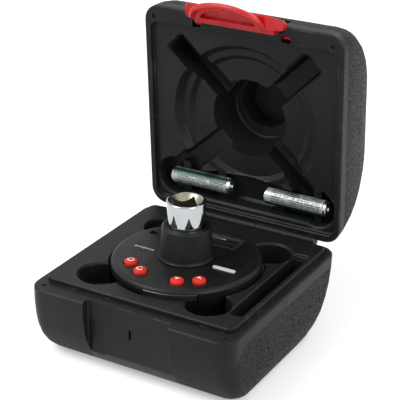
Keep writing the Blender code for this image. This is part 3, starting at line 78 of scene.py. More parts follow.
# Sizes of the dressed pieces

GAP = 0.0003
COVER_WALL = 0.0025
COLLAR_BORE = 0.0143
KEY_RADIUS = 0.0041
KEY_HOLE_CLEARANCE = 0.0004
KEY_DOME_DROP = 0.0017
SOCKET_TAPER = 0.068
SOCKET_MOUTH = 0.0098
BEZEL_BORDER = 0.0026
PRINT_PROUD = 0.00002
CELL_RADIUS = 0.00525
FLOOR_LEVEL = -0.0002
FLOOR_REACH = (0.5, 1.5, 4.0)
VIEW_TARGET = (0.0, 0.0, 0.047)


# Sizes and colours that a user would change

def colour(label, text, default):
    return bpy.props.FloatVectorProperty(name=label, description=text, subtype="COLOR", size=3,
                                         min=0.0, max=1.0, default=default)


def length(label, text, default, low=0.0, high=1.0):
    return bpy.props.FloatProperty(name=label, description=text, subtype="DISTANCE", unit="LENGTH",
                                   min=low, max=high, precision=5, default=default)


def share(label, text, default):
    return bpy.props.FloatProperty(name=label, description=text, subtype="FACTOR",
                                   min=0.0, max=1.0, default=default)


class CaseLook(bpy.types.PropertyGroup):
    """The blow moulded case and its hinge."""
    plastic: colour("Plastic", "Colour of the moulded case", (0.0082, 0.0098, 0.0092))
    skin_grain: length("Skin grain", "Height of one pebble of the outer skin", 0.00125)
    skin_depth: length("Skin depth", "How deep the pebbled skin is", 0.00040)
    smooth_band: length("Smooth band", "Plain band between the rim and the pebbled skin", 0.0078)
    satin: share("Satin", "Roughness of the plain plastic", 0.46)
    pin: colour("Hinge pin", "Colour of the hinge pin", (0.34, 0.34, 0.35))


class HandleLook(bpy.types.PropertyGroup):
    """The red carrying handle."""
    red: colour("Red", "Colour of the handle", (0.53, 0.004, 0.007))
    gloss: share("Roughness", "Roughness of the handle", 0.3)


class GaugeLook(bpy.types.PropertyGroup):
    """The disc gauge."""
    plastic: colour("Housing", "Colour of the gauge's housing", (0.0052, 0.0052, 0.0048))
    rim_rounding: length("Rim rounding", "Rounding between the face and the rim", 0.0030)
    satin: share("Satin", "Roughness of the housing", 0.42)
    keys: colour("Keys", "Colour of the four keys", (0.66, 0.018, 0.007))
    print: colour("Print", "Colour of the marks on the face and keys", (0.86, 0.87, 0.87))
    chrome: colour("Socket", "Colour of the plated socket", (0.43, 0.455, 0.46))
    steel: colour("Drive", "Colour of the drive square", (0.56, 0.57, 0.58))
    glass: colour("Display", "Colour of the unlit display", (0.011, 0.013, 0.012))


class CellLook(bpy.types.PropertyGroup):
    """The two spare cells in the lid."""
    sleeve: colour("Sleeve", "Colour of the cells' sleeves", (0.38, 0.42, 0.41))
    band: colour("Band", "Colour of the band on the sleeves", (0.012, 0.045, 0.032))
    can: colour("Can", "Colour of the bare can", (0.60, 0.60, 0.60))


class StageLook(bpy.types.PropertyGroup):
    """Floor, lamps and camera."""
    floor: colour("Floor", "Colour of the floor", (0.80, 0.80, 0.80))
    lens: bpy.props.FloatProperty(name="Lens", description="Focal length of the camera",
                                  subtype="DISTANCE_CAMERA", min=20.0, max=300.0, default=120.94)
    distance: length("Distance", "From the camera to the middle of the gauge", 0.8054, 0.1, 10.0)
    azimuth: bpy.props.FloatProperty(name="Azimuth", description="Camera's turn about the upright axis",
                                     subtype="ANGLE", unit="ROTATION", default=radians(30.49))
    elevation: bpy.props.FloatProperty(name="Elevation", description="Camera's height as an angle",
                                       subtype="ANGLE", unit="ROTATION", default=radians(24.49))
    lamps: bpy.props.FloatProperty(name="Lamps", description="Strength of all lamps together",
                                   min=0.0, max=10.0, default=1.0)


# Shapes

def link(item):
    bpy.context.scene.collection.objects.link(item)
    return item


def smoothed(item, degrees):
    """Shade a piece smooth except across edges sharper than so many degrees."""
    for face in item.data.polygons:
        face.use_smooth = True
    item.data.set_sharp_from_angle(angle=radians(degrees))
    return item


def mesh_piece(name, shape, smooth=30):
    """An object from a bmesh, with its faces turned outwards."""
    bmesh.ops.recalc_face_normals(shape, faces=shape.faces)
    mesh = bpy.data.meshes.new(name)
    shape.to_mesh(mesh)
    shape.free()
    return smoothed(link(bpy.data.objects.new(name, mesh)), smooth)


def grid_rows(shape, rows, closed_across=True):
    """Faces between rows of points; a row of one point closes to a pole."""
    made = [[shape.verts.new(point) for point in row] for row in rows]
    for low, high in zip(made, made[1:]):
        count = max(len(low), len(high))
        for index in range(count if closed_across else count - 1):
            after = (index + 1) % count
            if len(low) == 1:
                corners = (low[0], high[after], high[index])
            elif len(high) == 1:
                corners = (low[index], low[after], high[0])
            else:
                corners = (low[index], low[after], high[after], high[index])
            shape.faces.new(corners)
    return made


def close_ends(shape, made):
    """Faces over the first and the last row."""
    shape.faces.new(made[0])
    shape.faces.new(made[-1])


def join_ends(shape, made):
    """Faces from the last row back to the first, which makes a ring of the rows."""
    count = len(made[0])
    for index in range(count):
        after = (index + 1) % count
        shape.faces.new((made[-1][index], made[-1][after], made[0][after], made[0][index]))


def turned(name, profile, steps=144, closed=False, smooth=30):
    """A turned piece about Z through (radius, height) points; radius 0 is a pole."""
    shape = bmesh.new()
    rows = []
    for radius, height in profile:
        if radius < 1e-7:
            rows.append([(0.0, 0.0, height)])
        else:
            rows.append([(radius * cos(2 * pi * step / steps), radius * sin(2 * pi * step / steps), height)
                         for step in range(steps)])
    made = grid_rows(shape, rows)
    if closed:
        join_ends(shape, made)
    return mesh_piece(name, shape, smooth)


def sector(name, profile, start, end, steps=30):
    """Part of a turned ring between two angles, closed at both ends."""
    shape = bmesh.new()
    rows = []
    for step in range(steps + 1):
        angle = start + (end - start) * step / steps
        rows.append([(radius * cos(angle), radius * sin(angle), height) for radius, height in profile])
    close_ends(shape, grid_rows(shape, rows))
    return mesh_piece(name, shape)


def rounded_outline(left, right, front, rear, corner, steps=8):
    """Points of a rounded rectangle, counter-clockwise from its +X +Y corner."""
    corner = max(min(corner, (right - left) / 2 - 1e-6, (rear - front) / 2 - 1e-6), 1e-6)
    centres = ((right - corner, rear - corner), (left + corner, rear - corner),
               (left + corner, front + corner), (right - corner, front + corner))
    return [(x + corner * cos((quarter + step / steps) * pi / 2),
             y + corner * sin((quarter + step / steps) * pi / 2))
            for quarter, (x, y) in enumerate(centres) for step in range(steps + 1)]


def block(name, left, right, front, rear, low, high, corner, soft=0.0):
    """A plate or block with round upright corners and softened top and bottom edges."""
    levels = [(low, 0.0), (high, 0.0)]
    if soft:
        bend = [(soft * (1 - sin(pi / 2 * step / 3)), soft * (1 - cos(pi / 2 * step / 3)))
                for step in range(4)]
        levels = [(low + rise, inset) for inset, rise in bend]
        levels += [(high - rise, inset) for inset, rise in reversed(bend)]
    shape = bmesh.new()
    rows = [[(x, y, level) for x, y in rounded_outline(left + inset, right - inset, front + inset,
                                                         rear - inset, corner - inset)]
            for level, inset in levels]
    close_ends(shape, grid_rows(shape, rows))
    return mesh_piece(name, shape)


def quarter_round(radius, height, size, steps=8):
    """Points round an outer edge, from the flat above it down to the wall."""
    points = []
    for step in range(steps + 1):
        angle = pi / 2 * (1 - step / steps)
        points.append((radius - size * (1 - cos(angle)), height - size * (1 - sin(angle))))
    return points


def move(item, matrix):
    """Move or turn a piece's mesh and leave its origin where it is."""
    item.data.transform(matrix)
    return item


def cut(item, tool):
    """Cut a tool's shape out of a piece with an exact Boolean; the tool is removed."""
    step = item.modifiers.new("Cut", "BOOLEAN")
    step.operation = "DIFFERENCE"
    step.solver = "EXACT"
    step.object = tool
    bpy.context.view_layer.update()
    graph = bpy.context.evaluated_depsgraph_get()
    mesh = bpy.data.meshes.new_from_object(item.evaluated_get(graph), depsgraph=graph)
    item.modifiers.clear()
    item.data = mesh
    bpy.data.objects.remove(tool, do_unlink=True)
    return item


def dress_node(node, material, smooth=32):
    """Give a packed node its finish, and smooth its facets with a modifier."""
    item = NODES[node]
    item.data.materials.clear()
    item.data.materials.append(material)
    step = item.modifiers.new("Smooth facets", "NODES")
    step.node_group = smoothing_group(smooth)
    return item


def smoothing_group(degrees):
    """Geometry nodes that weld a packed mesh and shade it smooth up to an angle."""
    name = f"smooth_facets_{degrees}"
    if name in bpy.data.node_groups:
        return bpy.data.node_groups[name]
    group = bpy.data.node_groups.new(name, "GeometryNodeTree")
    group.interface.new_socket("Geometry", in_out="INPUT", socket_type="NodeSocketGeometry")
    group.interface.new_socket("Geometry", in_out="OUTPUT", socket_type="NodeSocketGeometry")
    enter = group.nodes.new("NodeGroupInput")
    leave = group.nodes.new("NodeGroupOutput")
    weld = group.nodes.new("GeometryNodeMergeByDistance")
    weld.inputs["Distance"].default_value = 2e-6
    faces = group.nodes.new("GeometryNodeSetShadeSmooth")
    edges = group.nodes.new("GeometryNodeSetShadeSmooth")
    edges.domain = "EDGE"
    edges.inputs["Shade Smooth"].default_value = False
    angle = group.nodes.new("GeometryNodeInputMeshEdgeAngle")
    sharp = group.nodes.new("FunctionNodeCompare")
    sharp.operation = "GREATER_THAN"
    sharp.inputs[1].default_value = radians(degrees)
    group.links.new(enter.outputs[0], weld.inputs["Geometry"])
    group.links.new(weld.outputs["Geometry"], faces.inputs["Geometry"])
    group.links.new(faces.outputs["Geometry"], edges.inputs["Geometry"])
    group.links.new(angle.outputs["Unsigned Angle"], sharp.inputs[0])
    group.links.new(sharp.outputs["Result"], edges.inputs["Selection"])
    group.links.new(edges.outputs["Geometry"], leave.inputs[0])
    return group


def own(item, body, material, nodes=()):
    """A finished piece: its material, the body it rides on and the nodes it stands for."""
    item.data.materials.clear()
    item.data.materials.append(material)
    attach(item, body)
    if nodes:
        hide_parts(*nodes)
    return item


# Material nodes

class Finish:
    """A material's node tree with short names for the nodes that the finishes use."""

    def __init__(self, name, colour, roughness, **shader):
        self.material = bpy.data.materials.new(name)
        self.material.use_nodes = True
        self.tree = self.material.node_tree
        self.shader = self.tree.nodes["Principled BSDF"]
        self.shader.inputs["Base Color"].default_value = (*colour, 1.0)
        self.shader.inputs["Roughness"].default_value = roughness
        for socket, value in shader.items():
            socket = socket.replace("_", " ").title().replace("Ior", "IOR")
            self.shader.inputs[socket].default_value = value
        self.material.diffuse_color = (*colour, 1.0)
        coordinates = self.tree.nodes.new("ShaderNodeTexCoord")
        self.place = coordinates.outputs["Object"]
        self.normal = coordinates.outputs["Normal"]

    def node(self, kind, inputs=(), **settings):
        made = self.tree.nodes.new("ShaderNode" + kind)
        for name, value in settings.items():
            setattr(made, name, value)
        for socket, value in dict(inputs).items():
            self.put(made.inputs[socket], value)
        return made

    def put(self, socket, value):
        """A socket's value, or a link where the value is another node's output."""
        if isinstance(value, bpy.types.NodeSocket):
            self.tree.links.new(value, socket)
        elif isinstance(value, tuple) and len(value) == 3 and socket.type == "RGBA":
            socket.default_value = (*value, 1.0)
        else:
            socket.default_value = value

    def maths(self, operation, first, second=0.0, third=0.0, clamp=False):
        made = self.node("Math", operation=operation, use_clamp=clamp)
        for socket, value in zip(made.inputs, (first, second, third)):
            self.put(socket, value)
        return made.outputs[0]

    def span(self, value, low, high, to_low=0.0, to_high=1.0):
        """A smooth step of a value from one range to another."""
        made = self.node("MapRange", interpolation_type="SMOOTHSTEP")
        for socket, given in zip(("Value", "From Min", "From Max", "To Min", "To Max"),
                                 (value, low, high, to_low, to_high)):
            self.put(made.inputs[socket], given)
        return made.outputs[0]

    def axes(self, vector=None):
        return self.node("SeparateXYZ", {"Vector": vector or self.place}).outputs

    def from_axis(self):
        """Distance from the gauge's upright axis."""
        x, y, _ = self.axes()
        return self.maths("SQRT", self.maths("ADD", self.maths("POWER", x, 2.0), self.maths("POWER", y, 2.0)))

    def spread(self, size, stretch):
        """Places counted in steps of `size` metres, drawn out along the stretched axes."""
        steps = tuple(1.0 / (size * along) for along in stretch)
        return self.node("Mapping", {"Vector": self.place, "Scale": steps}).outputs[0]

    def noise(self, size, detail=2.0, rough=0.5, stretch=(1.0, 1.0, 1.0)):
        """Noise whose features are `size` metres wide."""
        made = self.node("TexNoise", {"Vector": self.spread(size, stretch), "Scale": 1.0, "Detail": detail,
                                      "Roughness": rough})
        return made.outputs["Fac"]

    def pebbles(self, size, feature="F1", stretch=(1.0, 1.0, 1.0), unevenness=1.0):
        """Distances in a pattern of cells `size` metres wide."""
        made = self.node("TexVoronoi", {"Vector": self.spread(size, stretch), "Scale": 1.0,
                                        "Randomness": unevenness}, feature=feature)
        return made.outputs["Distance"]

    def mix(self, amount, first, second):
        made = self.node("Mix", data_type="RGBA")
        for socket, value in ((made.inputs[0], amount), (made.inputs[6], first), (made.inputs[7], second)):
            self.put(socket, value)
        return made.outputs[2]

    def bump(self, height, depth, strength=1.0, normal=None):
        inputs = {"Height": height, "Distance": depth, "Strength": strength}
        if normal is not None:
            inputs["Normal"] = normal
        return self.node("Bump", inputs).outputs[0]

    def near_edges(self, radius):
        """About 1 near an edge: where the rounded-off normal leaves the surface's own."""
        round_off = self.node("Bevel", {"Radius": radius}, samples=4)
        own_normal = self.node("NewGeometry").outputs["Normal"]
        dot = self.node("VectorMath", {0: round_off.outputs[0], 1: own_normal}, operation="DOT_PRODUCT")
        return self.span(self.maths("SUBTRACT", 1.0, dot.outputs["Value"]), 0.02, 0.12)

    def edge_wear_and_sheen(self, base, light, patches=0.006, amount=0.5, radius=0.0007):
        """A colour made lighter in broken stretches along the edges: partly rubbed wear, partly a painted
        highlight on the edges.
        """
        edges = self.near_edges(radius)
        broken = self.span(self.noise(patches, 4.0, 0.65), 0.52, 0.68)
        fine = self.span(self.noise(0.0006, 3.0, 0.7), 0.45, 0.62)
        wear_and_sheen_mask = self.maths("MULTIPLY", self.maths("MULTIPLY", edges, broken), fine)
        wear_and_sheen_mask = self.maths("MULTIPLY", wear_and_sheen_mask, amount)
        return self.mix(wear_and_sheen_mask, base, light), wear_and_sheen_mask

    def surface(self, base=None, roughness=None, normal=None):
        for socket, value in (("Base Color", base), ("Roughness", roughness), ("Normal", normal)):
            if value is not None:
                self.put(self.shader.inputs[socket], value)
        return self.material


def lighter(colour, amount):
    return tuple(part + (1.0 - part) * amount for part in colour)


def darker(colour, amount):
    return tuple(part * (1.0 - amount) for part in colour)


def skin_mask(finish, half, band):
    """Where a case half has its pebbled outer skin: away from the rim, bay, pockets and well."""
    x, y, z = finish.axes()
    side = finish.maths("ABSOLUTE", x)
    if half == "base":
        corner = finish.span(y, -0.066, -0.046, 0.011, 0.0)
        below = finish.maths("SUBTRACT", finish.maths("SUBTRACT", BASE_RIM, z), corner)
        past_band = finish.span(below, band - 0.0012, band + 0.0012)
        outside = finish.maths("MAXIMUM", finish.span(side, 0.0618, 0.0628),
                               finish.span(finish.maths("ABSOLUTE", y), 0.0618, 0.0628))
        outside = finish.maths("MAXIMUM", outside, finish.span(z, 0.0305, 0.0295))
        bay = finish.maths("MULTIPLY", finish.span(side, 0.0291, 0.0285), finish.span(y, -0.040, -0.042))
        clear = finish.span(finish.from_axis(), 0.0150, 0.0160)
        outside = finish.maths("MULTIPLY", outside, finish.maths("SUBTRACT", 1.0, bay))
        outside = finish.maths("MULTIPLY", outside, finish.span(y, -0.0655, -0.0560, 0.40, 1.0))
        return finish.maths("MULTIPLY", past_band, finish.maths("MULTIPLY", outside, clear))
    turn = LID_OPEN
    middle_of_lid = 0.0689
    depth = finish.maths("ADD", finish.maths("MULTIPLY", finish.maths("SUBTRACT", y, HINGE_Y), sin(turn)),
                         finish.maths("MULTIPLY", finish.maths("SUBTRACT", z, HINGE_Z), cos(turn)))
    past_band = finish.span(depth, band - 0.0012, band + 0.0012)
    facing_axes = finish.axes(finish.normal)
    facing = finish.maths("ADD", finish.maths("MULTIPLY", facing_axes["Y"], sin(turn)),
                          finish.maths("MULTIPLY", facing_axes["Z"], cos(turn)))
    turned_out = finish.span(facing, 0.05, 0.12)
    end = finish.maths("ABSOLUTE", finish.maths("SUBTRACT", finish.maths("SUBTRACT", z, HINGE_Z),
                                                     middle_of_lid))
    shallow = finish.maths("MULTIPLY", finish.span(end, 0.0615, 0.0625), finish.span(depth, 0.016, 0.015))
    outside = finish.maths("MAXIMUM", turned_out, finish.span(side, 0.0606, 0.0612))
    return finish.maths("MULTIPLY", past_band, finish.maths("MAXIMUM", outside, shallow))


def case_plastic(name, half, look):
    """Black moulded plastic: satin inside, pebbled on the outer skin with painted shade in the grooves and a
    painted highlight on the pebble tops, and light grey specks along its edges that are partly rubbed wear,
    partly painted glints.
    """
    plain = tuple(look.plastic)
    finish = Finish(name, plain, look.satin, specular_ior_level=0.16)
    skin = skin_mask(finish, half, look.smooth_band)
    drift = finish.span(finish.noise(0.03, 3.0), 0.35, 0.65)
    base = finish.mix(drift, darker(plain, 0.10), lighter(plain, 0.002))
    long_way = (1.3, 1.8, 0.9) if half == "base" else (1.3, 0.9, 1.8)
    edge = finish.pebbles(look.skin_grain, "DISTANCE_TO_EDGE", long_way, 0.95)
    # Painted light on the skin: pebble tops painted lighter as a highlight, grooves painted nearly black as
    # shade.
    top = finish.span(edge, 0.03, 0.17)
    grooves_shade_and_roughness = finish.maths("MULTIPLY", skin, finish.maths("SUBTRACT", 1.0, top))
    base = finish.mix(finish.maths("MULTIPLY", skin, top), base, lighter(plain, 0.004))
    base = finish.mix(finish.maths("MULTIPLY", grooves_shade_and_roughness, 0.8), base, darker(plain, 0.8))
    # Light grey specks along the edges: partly rubbed wear, partly painted glints.
    base, wear_and_sheen_mask = finish.edge_wear_and_sheen(base, (0.30, 0.31, 0.30), 0.010, 0.85, 0.0009)
    scuff = finish.span(finish.noise(0.012, 4.0, 0.7), 0.58, 0.78)
    rough = finish.maths("ADD", look.satin, finish.maths("MULTIPLY", scuff, 0.10))
    rough = finish.maths("ADD", rough, finish.maths("MULTIPLY", grooves_shade_and_roughness, 0.30))
    rough = finish.maths("ADD", rough, finish.maths("MULTIPLY", wear_and_sheen_mask, 0.2), clamp=True)
    orange_peel = finish.bump(finish.noise(0.0011, 2.0), 0.000010, 0.6)
    fine = finish.bump(finish.noise(0.00022, 2.0), 0.000006, 0.7, orange_peel)
    height = finish.maths("MULTIPLY", skin, top)
    pebbled = finish.bump(height, look.skin_depth, 1.0, fine)
    return finish.surface(base, rough, pebbled)


def housing_plastic(name, colour_value, roughness, shine=0.22, grain=0.00018):
    """Fine satin plastic of the gauge with handling marks, and edges a little glossier and painted lighter as
    a highlight.
    """
    plain = tuple(colour_value)
    finish = Finish(name, plain, roughness, specular_ior_level=shine)
    drift = finish.span(finish.noise(0.016, 3.0), 0.35, 0.65)
    base = finish.mix(drift, darker(plain, 0.12), lighter(plain, 0.002))
    # Edges painted lighter as a highlight; the same mask also makes them a little glossier below.
    base, wear_and_sheen_mask = finish.edge_wear_and_sheen(base, lighter(plain, 0.06), 0.007, 0.5, 0.0004)
    specks = finish.span(finish.pebbles(0.0042), 0.070, 0.045)
    thinly = finish.span(finish.noise(0.018, 1.0), 0.50, 0.56)
    base = finish.mix(finish.maths("MULTIPLY", finish.maths("MULTIPLY", specks, thinly), 0.5), base,
                      (0.10, 0.10, 0.095))
    smear = finish.span(finish.noise(0.009, 4.0, 0.65, (1.0, 2.2, 1.0)), 0.40, 0.70)
    rough = finish.maths("ADD", roughness - 0.04, finish.maths("MULTIPLY", smear, 0.10))
    rough = finish.maths("SUBTRACT", rough, finish.maths("MULTIPLY", wear_and_sheen_mask, 0.1), clamp=True)
    fine = finish.bump(finish.noise(grain, 2.0), 0.000006, 0.6)
    return finish.surface(base, rough, finish.bump(finish.noise(0.0016, 1.0), 0.000008, 0.5, fine))


def handle_plastic(look):
    """Glossy red moulded plastic with a faint grain, paler in broken stretches along its edges: a painted
    highlight, partly rubbed wear.
    """
    red = tuple(look.red)
    finish = Finish("handle_red_gloss", red, look.gloss, specular_ior_level=0.30)
    drift = finish.span(finish.noise(0.02, 3.0), 0.35, 0.65)
    base = finish.mix(drift, darker(red, 0.06), lighter(red, 0.02))
    # Edges painted paler in broken stretches: a painted highlight, partly rubbed wear.
    base, wear_and_sheen_mask = finish.edge_wear_and_sheen(base, lighter(red, 0.18), 0.008, 0.45, 0.0006)
    rough = finish.span(finish.noise(0.004, 4.0, 0.6), 0.3, 0.75, look.gloss - 0.06, look.gloss + 0.14)
    rough = finish.maths("ADD", rough, finish.maths("MULTIPLY", wear_and_sheen_mask, 0.15), clamp=True)
    fine = finish.bump(finish.noise(0.00035, 3.0), 0.000012, 0.7)
    return finish.surface(base, rough, finish.bump(finish.noise(0.0025, 2.0), 0.000025, 0.6, fine))


def key_rubber(look):
    """Matt red rubber of the keys."""
    red = tuple(look.keys)
    finish = Finish("key_red_rubber", red, 0.38, specular_ior_level=0.24)
    drift = finish.span(finish.noise(0.003, 3.0), 0.3, 0.7)
    base = finish.mix(drift, darker(red, 0.08), lighter(red, 0.015))
    rough = finish.span(finish.noise(0.0012, 3.0), 0.3, 0.7, 0.36, 0.52)
    return finish.surface(base, rough, finish.bump(finish.noise(0.00012, 2.0), 0.000006, 0.6))


def paint(name, colour_value, roughness=0.45):
    """Printed ink: nearly flat, a little worn through in specks."""
    ink = tuple(colour_value)
    finish = Finish(name, ink, roughness, specular_ior_level=0.4)
    specks = finish.span(finish.noise(0.0003, 3.0, 0.7), 0.62, 0.75)
    base = finish.mix(finish.maths("MULTIPLY", specks, 0.25), ink, darker(ink, 0.5))
    rough = finish.span(finish.noise(0.0010, 2.0), 0.3, 0.7, roughness - 0.08, roughness + 0.1)
    return finish.surface(base, rough, finish.bump(finish.noise(0.0002, 2.0), 0.000003, 0.5))


def metal(name, colour_value, roughness, turning=None, scratches=0.15, bore=0.0):
    """Bright metal with faint scratches, turning lines along one axis and a duller, warmer bore."""
    tint = tuple(colour_value)
    finish = Finish(name, tint, roughness, metallic=1.0)
    haze = finish.span(finish.noise(0.006, 4.0, 0.6), 0.35, 0.75)
    base = finish.mix(finish.maths("MULTIPLY", haze, 0.5), tint, darker(tint, 0.10))
    fine = finish.span(finish.noise(0.0009, 4.0, 0.7, (1.0, 1.0, 0.25)), 0.45, 0.8)
    rough = finish.maths("ADD", roughness, finish.maths("MULTIPLY", haze, 0.5 * scratches))
    rough = finish.maths("ADD", rough, finish.maths("MULTIPLY", fine, scratches * 0.35), clamp=True)
    if bore:
        within = finish.span(finish.from_axis(), bore + 0.0002, bore - 0.0002)
        base = finish.mix(within, base, (0.30, 0.285, 0.22))
        rough = finish.maths("ADD", rough, finish.maths("MULTIPLY", within, 0.30))
    if turning:
        lines = finish.bump(finish.noise(0.0002, 1.0, 0.5, turning), 0.0000025, 0.5)
        return finish.surface(base, rough, lines)
    return finish.surface(base, rough, finish.bump(finish.noise(0.004, 2.0), 0.000006, 0.3))


def display_glass(look):
    """The dark window over the unlit display, with a faint green-grey panel behind it."""
    glass = tuple(look.glass)
    finish = Finish("display_window_dark", glass, 0.08, specular_ior_level=0.5, coat_weight=0.4,
                    coat_roughness=0.04)
    drift = finish.span(finish.noise(0.010, 2.0), 0.3, 0.7)
    base = finish.mix(drift, glass, lighter(glass, 0.008))
    rough = finish.span(finish.noise(0.005, 4.0, 0.6), 0.3, 0.8, 0.05, 0.16)
    return finish.surface(base, rough, finish.bump(finish.noise(0.002, 1.0), 0.000002, 0.3))


def laminate():
    """Green circuit board with a grid of tracks and tinned pads."""
    green = (0.010, 0.075, 0.028)
    finish = Finish("circuit_board_green", green, 0.4, specular_ior_level=0.5)
    x, y, z = finish.axes()
    lane = finish.maths("PINGPONG", finish.maths("ADD", x, finish.maths("MULTIPLY", y, 0.5)), 0.0012)
    tracks = finish.span(lane, 0.0009, 0.0010)
    broken = finish.span(finish.noise(0.006, 2.0), 0.45, 0.5)
    base = finish.mix(finish.maths("MULTIPLY", tracks, broken), green, (0.03, 0.16, 0.06))
    pads = finish.span(finish.pebbles(0.0045), 0.20, 0.17)
    base = finish.mix(pads, base, (0.55, 0.55, 0.52))
    rough = finish.span(finish.noise(0.003, 3.0), 0.3, 0.7, 0.30, 0.48)
    return finish.surface(base, rough, finish.bump(tracks, 0.00003, 0.6))


def cell_sleeve(name, look, centre, radius, band_side):
    """Printed foil sleeve: pale silver with a dark band along one side and plain fine marks."""
    pale = tuple(look.sleeve)
    dark = tuple(look.band)
    finish = Finish(name, pale, 0.34, metallic=0.35, specular_ior_level=0.5)
    x, y, z = finish.axes()
    along = finish.maths("SUBTRACT", x, centre[0])
    out = finish.maths("SUBTRACT", y, centre[1])
    up = finish.maths("SUBTRACT", z, centre[2])
    turn = finish.maths("ARCTAN2", up, finish.maths("MULTIPLY", out, -1.0))
    haze = finish.span(finish.noise(0.006, 4.0, 0.6), 0.3, 0.7)
    base = finish.mix(haze, darker(pale, 0.10), lighter(pale, 0.10))
    low, high = band_side
    band = finish.maths("MULTIPLY", finish.span(turn, low - 0.02, low + 0.02),
                        finish.span(turn, high + 0.02, high - 0.02))
    base = finish.mix(band, base, dark)
    rows = finish.maths("PINGPONG", finish.maths("MULTIPLY", turn, radius), 0.00075)
    row_mask = finish.span(rows, 0.00022, 0.00032)
    marks = finish.span(finish.noise(0.00080, 1.0, 0.5, (0.9, 2.0, 2.0)), 0.41, 0.48)
    field = finish.maths("MULTIPLY", finish.span(finish.maths("ABSOLUTE", along), 0.0175, 0.0170),
                         finish.span(finish.noise(0.008, 1.0), 0.30, 0.36))
    ink = finish.maths("MULTIPLY", finish.maths("MULTIPLY", row_mask, marks), field)
    away = finish.maths("SUBTRACT", 1.0, band)
    ink = finish.maths("MULTIPLY", finish.maths("MULTIPLY", ink, away), 0.88)
    base = finish.mix(ink, base, (0.035, 0.045, 0.042))
    rough = finish.span(finish.noise(0.003, 3.0, 0.6), 0.3, 0.75, 0.28, 0.42)
    return finish.surface(base, rough, finish.bump(finish.noise(0.0015, 2.0), 0.00001, 0.4))


def floor_paint(look):
    """Pale floor that the camera sees as white, with the object's shadow left on it."""
    finish = Finish("floor_pale", look.floor, 0.9)
    rays = finish.node("LightPath")
    seen = finish.maths("MAXIMUM", rays.outputs["Is Camera Ray"],
                        finish.maths("MAXIMUM", rays.outputs["Is Glossy Ray"],
                                     rays.outputs["Is Transmission Ray"]))
    drift = finish.span(finish.noise(0.4, 2.0), 0.3, 0.7)
    base = finish.mix(drift, darker(tuple(look.floor), 0.01), lighter(tuple(look.floor), 0.01))
    matt = finish.node("BsdfDiffuse", {"Color": base})
    lift = finish.node("Emission", {"Color": (1.0, 1.0, 1.0),
                                    "Strength": finish.maths("MULTIPLY", seen, 0.38)})
    both = finish.node("AddShader", {0: matt.outputs[0], 1: lift.outputs[0]})
    out = finish.tree.nodes["Material Output"]
    finish.tree.links.new(both.outputs[0], out.inputs["Surface"])
    return finish.material


# Operators, one for each piece or group of like pieces

class Dress(bpy.types.Operator):
    """Shared by the operators: they act on the scene's sizes and colours."""
    bl_options = {"INTERNAL"}

    def done(self, text):
        self.report({"INFO"}, text)
        return {"FINISHED"}


class GAUGE_OT_case(Dress):
    """Case halves in black plastic, with their facets smoothed and a pebbled outer skin"""
    bl_idname = "gauge.case"
    bl_label = "Case halves"

    def execute(self, context):
        look = context.scene.gauge_case
        for node, half in (("case_base", "base"), ("case_lid", "lid")):
            dress_node(node, case_plastic(f"{node}_plastic", half, look), 30)
        return self.done("case halves")


class GAUGE_OT_hinge(Dress):
    """Hinge pin of the case"""
    bl_idname = "gauge.hinge"
    bl_label = "Hinge pin"

    def execute(self, context):
        look = context.scene.gauge_case
        dress_node("hinge_pin", metal("hinge_pin_steel", look.pin, 0.28, (50.0, 1.0, 1.0)))
        return self.done("hinge pin")


class GAUGE_OT_handle(Dress):
    """Red carrying handle"""
    bl_idname = "gauge.handle"
    bl_label = "Handle"

    def execute(self, context):
        look = context.scene.gauge_handle
        dress_node("handle", handle_plastic(look), 28)
        return self.done("handle")


def door_profile(extra=0.0):
    """Outline of the cell door in the rim, following the cover and the pan."""
    door_low, door_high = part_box("battery_door")
    high = door_high.z + extra
    low = door_low.z - extra
    outer = COVER_RADIUS + (0.004 if extra else 0.0)
    step = PAN_HIGH.x + (0.004 if extra else 0.0)
    inner = 0.0412 - 0.0019 - extra
    return [(outer, high), (outer, SEAM + 0.0004), (step, SEAM - 0.0014), (step - 0.0020, low),
            (inner, low), (inner, high)]


def door_cutter(extra=GAP):
    spread = extra / COVER_RADIUS
    return sector("door_cutter", door_profile(extra), DOOR_START - spread, DOOR_END + spread)


def key_place(node):
    low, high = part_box(node)
    return (low.x + high.x) / 2, (low.y + high.y) / 2


